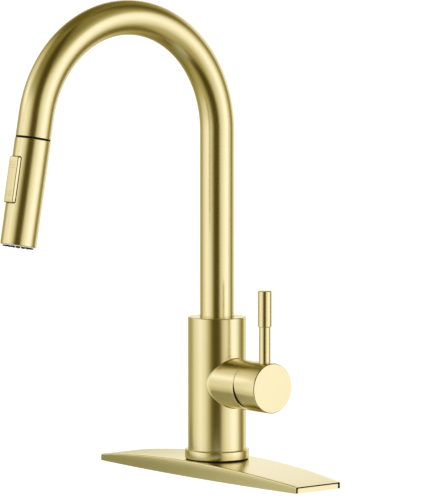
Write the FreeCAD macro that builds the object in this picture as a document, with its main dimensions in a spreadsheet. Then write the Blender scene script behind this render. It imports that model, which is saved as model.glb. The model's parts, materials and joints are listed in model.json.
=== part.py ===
import FreeCAD, Part
import math
import os
import re
import Sketcher

# Pull-down kitchen faucet, in millimetres.
# +Z is up, -Y is the side that the spout reaches over, +X is the handle's side.
# The origin is on the body's axis, at the top surface of the deck.

DIMENSIONS = {
    # gooseneck
    "overall_height": 400.0, "tube_radius": 14.3, "tube_wall": 1.5, "arc_radius": 95.0,
    "outlet_run": 19.8, "spout_tilt": 10.17, "tube_foot": 108.0,
    # body, its ring and its gasket
    "body_radius": 24.5, "body_wall": 2.6, "body_foot": 13.4, "body_top": 133.7, "body_cap": 3.0,
    "body_edge": 0.8, "ring_radius": 27.1, "ring_top": 21.8, "ring_edge": 0.9,
    "seat_level": 12.9, "gasket_radius": 26.2, "mouth_gap": 0.3,
    # deck plate
    "plate_length": 258.4, "plate_end_width": 48.3, "plate_mid_width": 61.0,
    "plate_end_height": 5.4, "plate_mid_height": 13.3, "plate_wall": 1.2, "plate_edge": 0.9,
    "plate_hole": 18.0, "liner_gap": 0.3, "deck_gasket_thick": 0.8,
    # hollows under the plate's insert
    "cell_length": 23.0, "cell_width": 19.0, "cell_depth": 2.6, "cell_row": 10.5,
    "cell_first": 38.0, "cell_pitch": 26.0,
    # shank and what holds it
    "shank_radius": 16.5, "shank_bore": 14.6, "shank_end": 60.0, "thread_radius": 15.8,
    "neck_radius": 16.2, "shank_top": 20.0, "deck_thick": 20.0, "nut_clearance": 0.08,
    "washer_radius": 27.0, "rubber_thick": 3.0, "steel_thick": 2.0, "nut_height": 12.0,
    "nut_radius": 24.0, "flange_thick": 3.0, "jack_radius": 2.5, "jack_circle": 22.0,
    "jack_length": 24.0, "jack_head": 4.0, "slot_length": 7.0, "slot_width": 1.2, "slot_depth": 1.3,
    # valve body and its ports
    "valve_radius": 21.85, "valve_top": 101.0, "port_level": 30.0, "port_radius": 4.5,
    "port_circle": 9.6, "port_depth": 12.0, "drill_radius": 2.8, "hose_way": 5.5,
    "mixed_level": 90.0, "shoulder_top": 0.5,
    # side boss, cartridge and bonnet nut, along the handle's axis
    "handle_axis": 79.0, "boss_radius": 20.8, "boss_end": 45.3, "pocket_radius": 17.65,
    "pocket_floor": 9.0, "cartridge_radius": 17.45, "base_thick": 3.0, "seal_thick": 1.0, "seal_radius": 3.7,
    "fixed_end": 15.5, "moving_end": 18.7, "carrier_end": 21.0, "rotor_shoulder": 31.0,
    "housing_end": 33.0, "housing_wall": 1.7, "disc_radius": 12.0, "rotor_radius": 13.4,
    "rotor_neck": 8.8, "rotor_end": 40.0, "rotor_gap": 0.2, "stem_slot_length": 16.4,
    "stem_slot_width": 7.4, "stem_pin_length": 17.0, "disc_gap": 0.05, "disc_rim": 4.0,
    "notch_play": 0.8, "notch_floor": 0.6, "spanner_slot": 3.0, "bonnet_end": 44.6, "bonnet_bore": 11.0,
    "pivot_reach": 34.0, "pin_radius": 1.2, "running_gap": 0.06,
    # handle
    "hub_back": 45.7, "hub_face": 72.2, "hub_wall": 0.7, "hub_slope": 14.85, "hub_edge": 0.8,
    "slope_start": 4.5,
    "hub_floor": 58.0, "dust_radius": 19.4, "dust_bore": 17.9, "dust_reach": 0.6,
    "dust_back": 45.4, "dust_disc": 0.9, "stem_half": 3.4, "stem_end": 66.0,
    "foot_ball": 2.4, "foot_level": 21.9,
    "lever_reach": 62.0, "lever_radius": 4.8, "lever_step": 129.4, "lever_top": 159.6,
    "grip_radius": 5.75, "grip_edge": 0.6, "stud_radius": 3.0, "stud_foot": 92.0,
    "stud_top": 148.0, "stud_fit": 5.0, "screw_radius": 2.0, "screw_length": 6.0, "key_radius": 1.1,
    "key_depth": 2.5, "blade": 7.0, "blade_length": 9.0, "blade_back": 4.0, "shaft_radius": 2.0,
    # spout pivot
    "sleeve_radius": 17.4, "sleeve_foot": 106.0, "sleeve_top": 124.0, "groove_radius": 15.6,
    "oring_low": 111.5, "oring_high": 118.5, "oring_half": 0.9, "liner_radius": 17.48,
    "snap_thick": 1.7, "bearing_gap": 0.08, "bush_floor": 2.0, "snap_slack": 0.2, "snap_split": 6.0,
    # dock, in the spray head's own axis, measured up from the dock line
    "dock_ring_thick": 1.5, "dock_gap": 0.1, "collar_top": 18.2, "collar_bore": 10.4,
    "magnet_bore": 9.2, "magnet_low": 3.0, "magnet_high": 9.0,
    # spray hose
    "hose_radius": 4.5, "hose_bore": 3.0, "hose_foot": 66.0, "hose_end": 12.0,
    "coupler_radius": 7.5, "coupler_length": 16.0, "crimp_foot": 4.2, "crimp_radius": 5.6,
    "post_radius": 3.6,
    # spray head, measured down from the dock line
    "head_radius": 14.6, "head_wall": 1.3, "head_length": 86.2, "head_edge": 0.5,
    "head_lip": 1.5, "core_radius": 13.2, "core_end": 80.0, "face_proud": 0.8,
    "face_thick": 3.5, "aerator_radius": 6.2, "nub_radius": 0.75, "nub_inner": 8.6,
    "nub_outer": 11.3, "pad_thick": 2.0, "ball_depth": 13.0, "ball_radius": 5.8,
    "hose_nut_radius": 7.5, "hose_nut_end": 20.0, "hex_radius": 8.6, "hex_height": 5.8,
    "hex_foot": 2.0, "socket_end": 21.0, "ball_play": 0.15, "nut_way": 4.0, "cone_foot": 8.5,
    "cone_height": 5.0, "seat_height": 12.0, "washer_bore": 4.2, "waterway": 4.0,
    "waterway_y": 4.0, "water_foot": 13.0, "water_length": 46.0, "chamber_height": 13.0,
    "head_magnet_low": 6.2, "head_magnet_high": 2.0,
    # check valve
    "valve_nose": 2.2, "valve_nose_end": 2.0, "valve_bore": 1.4, "valve_floor": 4.0,
    "valve_length": 6.5,
    # rocker pad
    "pad_start": 15.7, "pad_length": 37.5, "pad_width": 11.8, "pad_front": 16.6,
    "pad_back": 9.0, "pad_round": 1.3, "pad_recess": 0.45, "rocker_depth": 9.8,
    "rocker_pin": 1.0, "rocker_boss": 1.9, "recess_floor": 7.6, "plunger_drop": 12.0,
    "plunger_radius": 2.4, "plunger_step": 1.0, "waist_length": 4.0, "rocker_pin_length": 15.0,
    "boss_length": 8.0,
    # small steps, chamfers and fits
    "mixed_drill": 6.0, "groove_play": 0.1, "dock_ring_step": 0.25, "coupler_land": 5.0,
    "coupler_step": 1.0, "coupler_neck": 2.0, "crimp_chamfer": 1.0, "crimp_drop": 0.7,
    "hose_slack": 0.3, "slot_reach": 10.0, "slot_over": 2.0, "recess_half": 6.0,
    "recess_side": 0.5, "recess_end": 1.5, "core_wall": 1.5, "plunger_way": 16.0,
    "plunger_back": 5.0, "plunger_gap": 0.15, "valve_play": 0.5, "face_chamfer": 0.4,
    "nozzle_play": 0.05, "nozzle_pad_gap": 0.2, "nub_proud": 0.5, "aerator_wall": 1.2,
    "aerator_recess": 0.2, "aerator_dish": 3.0, "aerator_seat": 5.0, "aerator_back": 9.0,
    "disc_play": 0.1, "seal_sink": 0.5, "washer_step": 0.5, "jack_head_scale": 1.8,
}
D = type("Dimensions", (), DIMENSIONS)

WORDS = re.compile(r"[a-z_]{4,}")
ARC_LEVEL = "(overall_height - arc_radius - tube_radius)"
DOCK_Y = "(-arc_radius * (1 + cos(spout_tilt * 1deg)) - outlet_run * sin(spout_tilt * 1deg))"
DOCK_Z = f"({ARC_LEVEL} + arc_radius * sin(spout_tilt * 1deg) - outlet_run * cos(spout_tilt * 1deg))"
ROCKER_LEVEL = "(pad_start + pad_length / 2)"

doc = FreeCAD.newDocument("Faucet")
SUBPARTS = []


def make_sheet():
    """Put the driving dimensions in a spreadsheet, one alias to a row."""
    sheet = doc.addObject("Spreadsheet::Sheet", "Dims")
    for row, (word, number) in enumerate(DIMENSIONS.items(), start=1):
        sheet.set(f"A{row}", word)
        sheet.set(f"B{row}", str(number))
        sheet.setAlias(f"B{row}", word)
    doc.recompute()


def bound(text):
    """Turn a formula in plain aliases into one that points at the spreadsheet."""
    def point(match):
        word = match.group(0)
        return f"Dims.{word}" if word in DIMENSIONS else word
    return WORDS.sub(point, text)


def bind(thing, **formulas):
    for name, formula in formulas.items():
        thing.setExpression(name, bound(formula))
    return thing


def place(thing, x="0", y="0", z="0", axis=(0, 0, 1), angle="0"):
    """Give a thing a placement whose position and angle follow the spreadsheet."""
    turn = FreeCAD.Rotation(FreeCAD.Vector(*axis), 1)
    thing.Placement = FreeCAD.Placement(FreeCAD.Vector(), turn)
    for name, formula in (("Base.x", x), ("Base.y", y), ("Base.z", z), ("Rotation.Angle", angle)):
        thing.setExpression(f"Placement.{name}", bound(formula))
    return thing


def upright(thing):
    return place(thing)


def on_handle_axis(thing):
    """Local +Z becomes +X, along the handle's axis."""
    return place(thing, z="handle_axis", axis=(0, 1, 0), angle="90")


def on_head_axis(thing):
    """Local +Z runs up the spray head's axis, with local 0 at the dock line."""
    return place(thing, y=DOCK_Y, z=DOCK_Z, axis=(1, 0, 0), angle="-spout_tilt")


def subpart(name, thing, frame=upright):
    frame(thing)
    thing.Label = name
    SUBPARTS.append(thing)
    return thing


# ---------------------------------------------------------------- primitives and booleans

def cylinder(radius, height, x="0", y="0", z="0", along="z"):
    """A solid cylinder that starts at a point and runs along one of the local axes."""
    thing = doc.addObject("Part::Cylinder", "Cylinder")
    bind(thing, Radius=radius, Height=height)
    axis, angle = {"z": ((0, 0, 1), "0"), "x": ((0, 1, 0), "90"), "y": ((1, 0, 0), "-90")}[along]
    return place(thing, x, y, z, axis, angle)


def block(length, width, height, x="0", y="0", z="0"):
    """A box centred on x and y that stands on z."""
    thing = doc.addObject("Part::Box", "Block")
    bind(thing, Length=length, Width=width, Height=height)
    return place(thing, f"{x} - ({length}) / 2", f"{y} - ({width}) / 2", z)


def hexagon(circumradius, height, z="0"):
    thing = doc.addObject("Part::Prism", "Hexagon")
    thing.Polygon = 6
    bind(thing, Circumradius=circumradius, Height=height)
    return place(thing, z=z)


def ball(radius, z):
    thing = doc.addObject("Part::Sphere", "Ball")
    bind(thing, Radius=radius)
    return place(thing, z=z)


def ring(major, minor, z, x="0", y="0", span=360):
    thing = doc.addObject("Part::Torus", "Ring")
    bind(thing, Radius1=major, Radius2=minor)
    thing.Angle3 = span
    return place(thing, x, y, z)


def fuse(*things):
    thing = doc.addObject("Part::MultiFuse", "Fusion")
    thing.Shapes = list(things)
    return thing


def cut(base, *tools):
    """Take every tool out of the base, and stop if one of them takes nothing."""
    thing = doc.addObject("Part::Cut", "Difference")
    thing.Base = base
    thing.Tool = tools[0] if len(tools) == 1 else fuse(*tools)
    doc.recompute()
    if thing.Shape.Volume >= base.Shape.Volume - 1e-6:
        raise ValueError(f"a cut from {base.Label} removed nothing")
    return thing


def together(*things):
    """Separate solids of one kind, kept in one node."""
    thing = doc.addObject("Part::Compound", "Group")
    thing.Links = list(things)
    return thing


# ---------------------------------------------------------------- bodies and sketches

def new_body(name):
    return doc.addObject("PartDesign::Body", name)


def sketch_on(body, role):
    sketch = body.newObject("Sketcher::SketchObject", "Sketch")
    plane = [f for f in body.Origin.OriginFeatures if f.Role == role][0]
    sketch.AttachmentSupport = [(plane, "")]
    sketch.MapMode = "FlatFace"
    return sketch


def outline(sketch, points):
    """Draw a closed outline of straight lines whose corners follow formulas."""
    count = len(points)
    first = sketch.GeometryCount
    corners = [FreeCAD.Vector(9 + 4 * math.cos(2 * math.pi * i / count),
                              4 * math.sin(2 * math.pi * i / count), 0) for i in range(count)]
    for i in range(count):
        sketch.addGeometry(Part.LineSegment(corners[i], corners[(i + 1) % count]), False)
    for i in range(count):
        here = first + i
        after = first + (i + 1) % count
        sketch.addConstraint(Sketcher.Constraint("Coincident", here, 2, after, 1))
    for i, (across, up) in enumerate(points):
        pin_point(sketch, first + i, 1, across, up, corners[i])


def pin_point(sketch, edge, end, across, up, start):
    """Hold one end of an edge at formulas for its two coordinates."""
    for kind, formula, value in (("DistanceX", across, start.x), ("DistanceY", up, start.y)):
        index = sketch.addConstraint(Sketcher.Constraint(kind, -1, 1, edge, end, value))
        sketch.setExpression(f"Constraints[{index}]", bound(formula))


def circle(sketch, radius, x="0", y="0"):
    index = sketch.addGeometry(Part.Circle(FreeCAD.Vector(1, 1, 0), FreeCAD.Vector(0, 0, 1), 5), False)
    rule = sketch.addConstraint(Sketcher.Constraint("Radius", index, 5))
    sketch.setExpression(f"Constraints[{rule}]", bound(radius))
    pin_point(sketch, index, 3, x, y, FreeCAD.Vector(1, 1, 0))


def turned(name, points):
    """A turned piece: an outline of (radius, height) corners revolved about local Z."""
    body = new_body(name)
    sketch = sketch_on(body, "XZ_Plane")
    outline(sketch, points)
    turn = body.newObject("PartDesign::Revolution", "Turned")
    turn.Profile = sketch
    turn.ReferenceAxis = (sketch, ["V_Axis"])
    turn.Angle = 360
    doc.recompute()
    return body


def tube(name, inner, outer, low, high):
    return turned(name, [(inner, low), (outer, low), (outer, high), (inner, high)])


def rounded(body, radius, *picks):
    """Round the circular edges of a turned body that lie at the (radius, height) picks."""
    doc.recompute()
    names = []
    for number, edge in enumerate(body.Tip.Shape.Edges, start=1):
        curve = edge.Curve
        if not isinstance(curve, Part.Circle):
            continue
        spot = (curve.Radius, curve.Center.z)
        if any(math.dist(spot, pick) < 0.02 for pick in picks):
            names.append(f"Edge{number}")
    fillet_edges(body, radius, names)
    return body


def fillet_edges(body, radius, names):
    if not names:
        raise ValueError(f"{body.Name} has no edge at the place to round")
    base = body.Tip
    before = base.Shape.Volume
    fillet = body.newObject("PartDesign::Fillet", "Rounding")
    fillet.Base = (base, names)
    bind(fillet, Radius=radius)
    doc.recompute()
    if fillet.Shape.isNull() or abs(fillet.Shape.Volume - before) < 1e-9:
        raise ValueError(f"the rounding of {body.Name} did nothing")


def swept(name, inner, outer, foot, tail):
    """A tube along the gooseneck's centre line: up, over the arc and down to the outlet."""
    body = new_body(name)
    spine = sketch_on(body, "YZ_Plane")
    bend = math.radians(D.spout_tilt)
    level = D.overall_height - D.arc_radius - D.tube_radius
    crown = FreeCAD.Vector(-D.arc_radius, level, 0)
    spine.addGeometry(Part.LineSegment(FreeCAD.Vector(0, 0, 0), FreeCAD.Vector(0, level, 0)), False)
    over = Part.ArcOfCircle(Part.Circle(crown, FreeCAD.Vector(0, 0, 1), D.arc_radius), 0, math.pi - bend)
    spine.addGeometry(over, False)
    leave = FreeCAD.Vector(-D.arc_radius * (1 + math.cos(bend)), level + D.arc_radius * math.sin(bend), 0)
    down = FreeCAD.Vector(-math.sin(bend), -math.cos(bend), 0)
    spine.addGeometry(Part.LineSegment(leave, leave + down * 10), False)
    spine.addConstraint(Sketcher.Constraint("Tangent", 0, 2, 1, 1))
    spine.addConstraint(Sketcher.Constraint("Tangent", 1, 2, 2, 1))
    pin_point(spine, 0, 1, "0", foot, FreeCAD.Vector(0, 0, 0))
    pin_point(spine, 1, 3, "-arc_radius", ARC_LEVEL, crown)
    index = spine.addConstraint(Sketcher.Constraint("Radius", 1, D.arc_radius))
    spine.setExpression(f"Constraints[{index}]", bound("arc_radius"))
    index = spine.addConstraint(Sketcher.Constraint("Distance", 2, 10))
    spine.setExpression(f"Constraints[{index}]", bound(tail))
    index = spine.addConstraint(Sketcher.Constraint("DistanceY", -1, 1, 2, 1, leave.y))
    spine.setExpression(f"Constraints[{index}]",
                        bound(f"{ARC_LEVEL} + arc_radius * sin(spout_tilt * 1deg)"))
    doc.recompute()
    profile = sketch_on(body, "XY_Plane")
    bind(profile, **{"AttachmentOffset.Base.z": foot})
    circle(profile, outer)
    circle(profile, inner)
    doc.recompute()
    pipe = body.newObject("PartDesign::AdditivePipe", "Sweep")
    pipe.Profile = profile
    pipe.Spine = (spine, ["Edge1", "Edge2", "Edge3"])
    doc.recompute()
    section = profile.Shape.Edges[0].Curve.Radius ** 2 - profile.Shape.Edges[1].Curve.Radius ** 2
    expected = abs(section) * math.pi * spine.Shape.Length
    if abs(pipe.Shape.Volume / expected - 1) > 1e-3:
        raise ValueError(f"{name} has volume {pipe.Shape.Volume}, not {expected}")
    return body


# ---------------------------------------------------------------- deck plate

def bowed_slab(name, inset, thick):
    """A flat slab with straight ends and long sides that bow outward, inset from the plate's edge."""
    body = new_body(name)
    sketch = sketch_on(body, "XY_Plane")
    half = f"(plate_length / 2 - {inset})"
    end = f"(plate_end_width / 2 - {inset})"
    bow = "((plate_mid_width - plate_end_width) / 2)"
    radius = f"({half} ^ 2 + {bow} ^ 2) / (2 * {bow})"
    x = D.plate_length / 2
    y = D.plate_end_width / 2
    rise = (D.plate_mid_width - D.plate_end_width) / 2
    big = (x ** 2 + rise ** 2) / (2 * rise)
    swing = math.asin(x / big)
    sketch.addGeometry(Part.LineSegment(FreeCAD.Vector(x, -y, 0), FreeCAD.Vector(x, y, 0)), False)
    low = Part.Circle(FreeCAD.Vector(0, y + rise - big, 0), FreeCAD.Vector(0, 0, 1), big)
    sketch.addGeometry(Part.ArcOfCircle(low, math.pi / 2 - swing, math.pi / 2 + swing), False)
    sketch.addGeometry(Part.LineSegment(FreeCAD.Vector(-x, y, 0), FreeCAD.Vector(-x, -y, 0)), False)
    high = Part.Circle(FreeCAD.Vector(0, big - y - rise, 0), FreeCAD.Vector(0, 0, 1), big)
    sketch.addGeometry(Part.ArcOfCircle(high, -math.pi / 2 - swing, -math.pi / 2 + swing), False)
    for edge, after in ((0, 1), (1, 2), (2, 3), (3, 0)):
        sketch.addConstraint(Sketcher.Constraint("Coincident", edge, 2, after, 1))
    pin_point(sketch, 0, 1, half, f"-{end}", FreeCAD.Vector(x, -y, 0))
    pin_point(sketch, 0, 2, half, end, FreeCAD.Vector(x, y, 0))
    pin_point(sketch, 2, 1, f"-{half}", end, FreeCAD.Vector(-x, y, 0))
    pin_point(sketch, 2, 2, f"-{half}", f"-{end}", FreeCAD.Vector(-x, -y, 0))
    for arc in (1, 3):
        index = sketch.addConstraint(Sketcher.Constraint("Radius", arc, big))
        sketch.setExpression(f"Constraints[{index}]", bound(radius))
    pad = body.newObject("PartDesign::Pad", "Slab")
    pad.Profile = sketch
    bind(pad, Length=thick)
    doc.recompute()
    return body


def arched_slab(name, inset, drop):
    """The bowed slab, cut by the long arch that falls from its middle to its ends."""
    body = bowed_slab(name, inset, "plate_mid_height + 1")
    sketch = sketch_on(body, "XZ_Plane")
    rise = D.plate_mid_height - D.plate_end_height
    half = D.plate_length / 2
    big = (half ** 2 + rise ** 2) / (2 * rise)
    swing = math.asin(half / big)
    crown = Part.Circle(FreeCAD.Vector(0, D.plate_mid_height - big, 0), FreeCAD.Vector(0, 0, 1), big)
    sketch.addGeometry(Part.ArcOfCircle(crown, math.pi / 2 - swing, math.pi / 2 + swing), False)
    top = D.plate_mid_height + 5
    ends = [(half, D.plate_end_height), (half, top), (-half, top), (-half, D.plate_end_height)]
    corners = [FreeCAD.Vector(across, up, 0) for across, up in ends]
    for start, stop in zip(corners[:-1], corners[1:]):
        sketch.addGeometry(Part.LineSegment(start, stop), False)
    for edge, end, after, start in ((0, 1, 1, 1), (1, 2, 2, 1), (2, 2, 3, 1), (3, 2, 0, 2)):
        sketch.addConstraint(Sketcher.Constraint("Coincident", edge, end, after, start))
    reach = "plate_length / 2"
    fall = f"plate_end_height - {drop}"
    pin_point(sketch, 1, 1, reach, fall, corners[0])
    pin_point(sketch, 1, 2, reach, "plate_mid_height + 5", corners[1])
    pin_point(sketch, 2, 2, f"-{reach}", "plate_mid_height + 5", corners[2])
    pin_point(sketch, 3, 2, f"-{reach}", fall, corners[3])
    lift = "(plate_mid_height - plate_end_height)"
    index = sketch.addConstraint(Sketcher.Constraint("Radius", 0, big))
    sketch.setExpression(f"Constraints[{index}]", bound(f"(({reach}) ^ 2 + {lift} ^ 2) / (2 * {lift})"))
    before = body.Shape.Volume
    pocket = body.newObject("PartDesign::Pocket", "Arch")
    pocket.Profile = sketch
    pocket.Midplane = True
    pocket.Type = "Length"
    bind(pocket, Length="plate_mid_width * 2")
    doc.recompute()
    if pocket.Shape.Volume >= before - 1:
        raise ValueError(f"the arch of {name} removed nothing")
    return body


def make_deck_plate():
    """The metal cover: an arched tray with rounded edges, open underneath."""
    outer = arched_slab("PlateOuter", "0", "0")
    top = D.plate_end_height - 0.01
    names = []
    for number, edge in enumerate(outer.Tip.Shape.Edges, start=1):
        box = edge.BoundBox
        vertical = box.ZLength > 1 and box.XLength < 0.01 and box.YLength < 0.01
        if box.ZMin > top or vertical:
            names.append(f"Edge{number}")
    fillet_edges(outer, "plate_edge", names)
    hollow = arched_slab("PlateHollow", "plate_wall", "plate_wall")
    hole = cylinder("plate_hole", "plate_mid_height * 2", z="-1")
    seat = cylinder("gasket_radius + mouth_gap", "plate_mid_height", z="seat_level")
    subpart("deck_plate", cut(outer, hollow, hole, seat))


def make_plate_base():
    """The ribbed plastic insert that fills the cover."""
    inset = "(plate_wall + liner_gap)"
    slab = arched_slab("InsertOuter", inset, inset)
    hole = cylinder("plate_hole", "plate_mid_height * 2", z="-1")
    below = block("plate_length + 2", "plate_mid_width + 2", "deck_gasket_thick + 1", z="-1")
    flat = cylinder("ring_radius + 2", "plate_mid_height", z="seat_level - plate_wall - liner_gap")
    cells = []
    for side in ("-1", "1"):
        for column in ("0", "1", "2"):
            for row in ("-1", "1"):
                cells.append(block("cell_length", "cell_width", "cell_depth",
                                   f"{side} * (cell_first + {column} * cell_pitch)",
                                   f"{row} * cell_row"))
    subpart("deck_plate_base", cut(slab, hole, below, flat, *cells))


def make_deck_gasket():
    slab = bowed_slab("DeckGasket", "(plate_wall + liner_gap)", "deck_gasket_thick")
    hole = cylinder("plate_hole", "deck_gasket_thick + 2", z="-1")
    subpart("deck_gasket", cut(slab, hole))


# ---------------------------------------------------------------- body

def make_base_gasket():
    subpart("base_gasket", tube("BaseGasket", "plate_hole", "gasket_radius", "seat_level", "body_foot"))


def make_base_ring():
    body = tube("BaseRing", "body_radius", "ring_radius", "body_foot", "ring_top")
    rounded(body, "ring_edge", (D.ring_radius, D.ring_top))
    subpart("base_ring", body)


def make_body_shell():
    """The upright tube, closed on top round the spout, with a side hole for the cartridge."""
    inner = "body_radius - body_wall"
    mouth = "tube_radius + mouth_gap"
    under = "body_top - body_cap"
    body = turned("BodyShell", [(inner, "body_foot"), ("body_radius", "body_foot"),
                                ("body_radius", "body_top"), (mouth, "body_top"),
                                (mouth, under), (inner, under)])
    rounded(body, "body_edge", (D.body_radius, D.body_top))
    side = cylinder("pocket_radius", "body_radius + 2", z="handle_axis", along="x")
    subpart("body_shell", cut(body, side))


def make_side_boss():
    """The horizontal tube, coped to sit on the body."""
    boss = on_handle_axis(tube("SideBoss", "pocket_radius", "boss_radius", "0", "boss_end"))
    cope = cylinder("body_radius", "boss_radius * 4", z="handle_axis - boss_radius * 2")
    subpart("side_boss", cut(boss, cope))


def make_shank():
    """The threaded tube through the deck: a plain shoulder in the deck, a thread below it."""
    body = turned("Shank", [("shank_bore", "-shank_end"), ("thread_radius", "-shank_end"),
                            ("thread_radius", "-deck_thick"), ("shank_radius", "-deck_thick"),
                            ("shank_radius", "shoulder_top"), ("neck_radius", "shoulder_top"),
                            ("neck_radius", "shank_top"), ("shank_bore", "shank_top")])
    subpart("mounting_shank", body)


def make_valve_body():
    """The casting that joins the hot, cold and mixed ports to the cartridge's seat."""
    block_ = turned("ValveBody", [("neck_radius", "body_foot"), ("valve_radius", "body_foot"),
                                  ("valve_radius", "valve_top"), ("hose_way", "valve_top"),
                                  ("hose_way", "port_level"), ("shank_bore", "port_level"),
                                  ("shank_bore", "shank_top"), ("neck_radius", "shank_top")])
    pocket = cylinder("pocket_radius", "body_radius", x="pocket_floor", z="handle_axis", along="x")
    tools = [pocket]
    ports = (("0", "-port_circle"), ("0", "port_circle"), ("-port_circle", "0"))
    for x, y in ports:
        tools.append(cylinder("port_radius", "port_depth + 1", x, y, "port_level - 1"))
    for y in ("-port_circle", "port_circle"):
        tools.append(cylinder("drill_radius", "handle_axis - port_level", "0", y, "port_level"))
        tools.append(cylinder("drill_radius", "pocket_floor + 1", "0", y, "handle_axis", "x"))
    tools.append(cylinder("drill_radius", "mixed_level - port_level", "-port_circle", "0", "port_level"))
    channel = ring("port_circle", "drill_radius", "mixed_level", span=120)
    place(channel, z="mixed_level", angle="60")
    tools.append(channel)
    tools.append(cylinder("drill_radius", "mixed_drill", "port_circle / 2", "port_circle * sin(60deg)",
                          "mixed_level", "x"))
    subpart("valve_body", cut(block_, *tools))


def make_spout_bearings():
    """The lower liner with its floor, the upper bushing and the split snap ring between them."""
    way = "hose_way + bush_floor"
    floor = "sleeve_foot - mouth_gap"
    liner = turned("LowerBushing", [(way, "valve_top"), ("valve_radius", "valve_top"),
                                    ("valve_radius", "sleeve_top"), ("liner_radius", "sleeve_top"),
                                    ("liner_radius", floor), (way, floor)])
    subpart("spout_bushing_lower", liner)
    low = "sleeve_top + snap_slack"
    snap = tube("SnapRing", "tube_radius + snap_slack * 2", "valve_radius - snap_slack * 3", low,
                f"{low} + snap_thick")
    gap = block("snap_split", "snap_split * 2", "snap_split", y="valve_radius - snap_split / 2",
                z="sleeve_top - 1")
    subpart("spout_snap_ring", cut(snap, gap))
    upper = tube("UpperBushing", "tube_radius + bearing_gap", "valve_radius",
                 f"{low} + snap_slack + snap_thick", "body_top - body_cap")
    subpart("spout_bushing_upper", upper)


# ---------------------------------------------------------------- spout

def make_spout_tube():
    subpart("spout_tube", swept("SpoutTube", "tube_radius - tube_wall", "tube_radius", "tube_foot",
                                "outlet_run - dock_ring_thick"))


def make_spout_pivot():
    """The brass sleeve brazed round the tube's foot, with two grooves for its rings."""
    corners = [("tube_radius - tube_wall", "sleeve_foot"), ("sleeve_radius", "sleeve_foot")]
    for level in ("oring_low", "oring_high"):
        below = f"{level} - oring_half - groove_play"
        above = f"{level} + oring_half + groove_play"
        corners += [("sleeve_radius", below), ("groove_radius", below),
                    ("groove_radius", above), ("sleeve_radius", above)]
    corners += [("sleeve_radius", "sleeve_top"), ("tube_radius", "sleeve_top"),
                ("tube_radius", "tube_foot"), ("tube_radius - tube_wall", "tube_foot")]
    subpart("spout_pivot_sleeve", turned("PivotSleeve", corners))
    levels = ("oring_low", "oring_high")
    rings = [ring("groove_radius + oring_half", "oring_half", level) for level in levels]
    subpart("spout_o_rings", together(*rings))


def make_dock():
    """The collar, the black ring and the magnet that hold the head at the spout's end."""
    inside = "tube_radius - tube_wall"
    collar = turned("Collar", [("collar_bore", "dock_ring_thick"), (inside, "dock_ring_thick"),
                               (inside, "collar_top"), ("collar_bore", "collar_top")])
    subpart("docking_collar", collar, on_head_axis)
    dark = tube("DockRing", "magnet_bore", "tube_radius - dock_ring_step", "dock_gap", "dock_ring_thick")
    subpart("dock_ring", dark, on_head_axis)
    magnet = tube("DockMagnet", "magnet_bore", "collar_bore", "magnet_low", "magnet_high")
    subpart("dock_magnet", magnet, on_head_axis)


def make_hose():
    """The spray hose, whole along its way from under the shank to the spout's end."""
    end = "outlet_run - hose_end - hose_slack"
    hose = swept("SprayHose", "hose_bore", "hose_radius", "-hose_foot", end)
    subpart("spray_hose", hose)
    low = "-hose_foot - coupler_length"
    land = f"{low} + coupler_land"
    coupler = turned("Coupler", [("hose_bore", low), ("hose_radius", low), ("hose_radius", land),
                                 ("coupler_radius", f"{land} + coupler_step"),
                                 ("coupler_radius", "-hose_foot - coupler_neck"),
                                 ("hose_radius + coupler_step", "-hose_foot"),
                                 ("hose_bore", "-hose_foot")])
    subpart("hose_lower_fitting", coupler)


# ---------------------------------------------------------------- hose end

def make_hose_end():
    """The crimped ferrule and the drilled ball that the head turns on."""
    ferrule = turned("Ferrule", [("hose_bore", "crimp_foot"), ("crimp_radius", "crimp_foot"),
                                 ("crimp_radius", "hose_end - crimp_chamfer"),
                                 ("crimp_radius - crimp_drop", "hose_end"),
                                 ("hose_bore", "hose_end")])
    subpart("hose_ferrule", ferrule, on_head_axis)
    stem = cylinder("post_radius", "ball_depth + crimp_foot", z="-ball_depth")
    bore = cylinder("post_radius / 2", "ball_depth * 3", z="-ball_depth - ball_radius - 1")
    shaped = cut(fuse(ball("ball_radius", "-ball_depth"), stem), bore)
    subpart("swivel_ball", shaped, on_head_axis)


# ---------------------------------------------------------------- spray head

def make_head_shell():
    """The slim metal-look sleeve with a lip on top and a slot for the pad."""
    inner = "head_radius - head_wall"
    lip = "-dock_gap - head_lip"
    body = turned("HeadShell", [(inner, "-head_length"), ("head_radius", "-head_length"),
                                ("head_radius", "-dock_gap"), ("magnet_bore", "-dock_gap"),
                                ("magnet_bore", lip), (inner, lip)])
    rounded(body, "head_edge", (D.head_radius, -D.head_length), (D.head_radius, -D.dock_gap))
    slot = rounded_bar("Slot", "pad_width + pad_recess * 2", "pad_length + pad_recess * 2",
                       "slot_reach", "pad_front + slot_over", "pad_round + pad_recess")
    subpart("head_shell", cut(body, slot), on_head_axis)


def rounded_bar(name, width, length, back, front, corner):
    """An upright bar on the pad's place, with four rounded corner edges."""
    body = new_body(name)
    sketch = sketch_on(body, "XZ_Plane")
    half = f"({width}) / 2"
    low = f"-{ROCKER_LEVEL} - ({length}) / 2"
    high = f"-{ROCKER_LEVEL} + ({length}) / 2"
    outline(sketch, [(f"-{half}", low), (half, low), (half, high), (f"-{half}", high)])
    bind(sketch, **{"AttachmentOffset.Base.z": back})
    pad = body.newObject("PartDesign::Pad", "Bar")
    pad.Profile = sketch
    bind(pad, Length=f"({front}) - ({back})")
    doc.recompute()
    names = []
    for number, edge in enumerate(pad.Shape.Edges, start=1):
        box = edge.BoundBox
        if box.XLength < 0.01 and box.ZLength < 0.01:
            names.append(f"Edge{number}")
    fillet_edges(body, corner, names)
    return body


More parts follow.
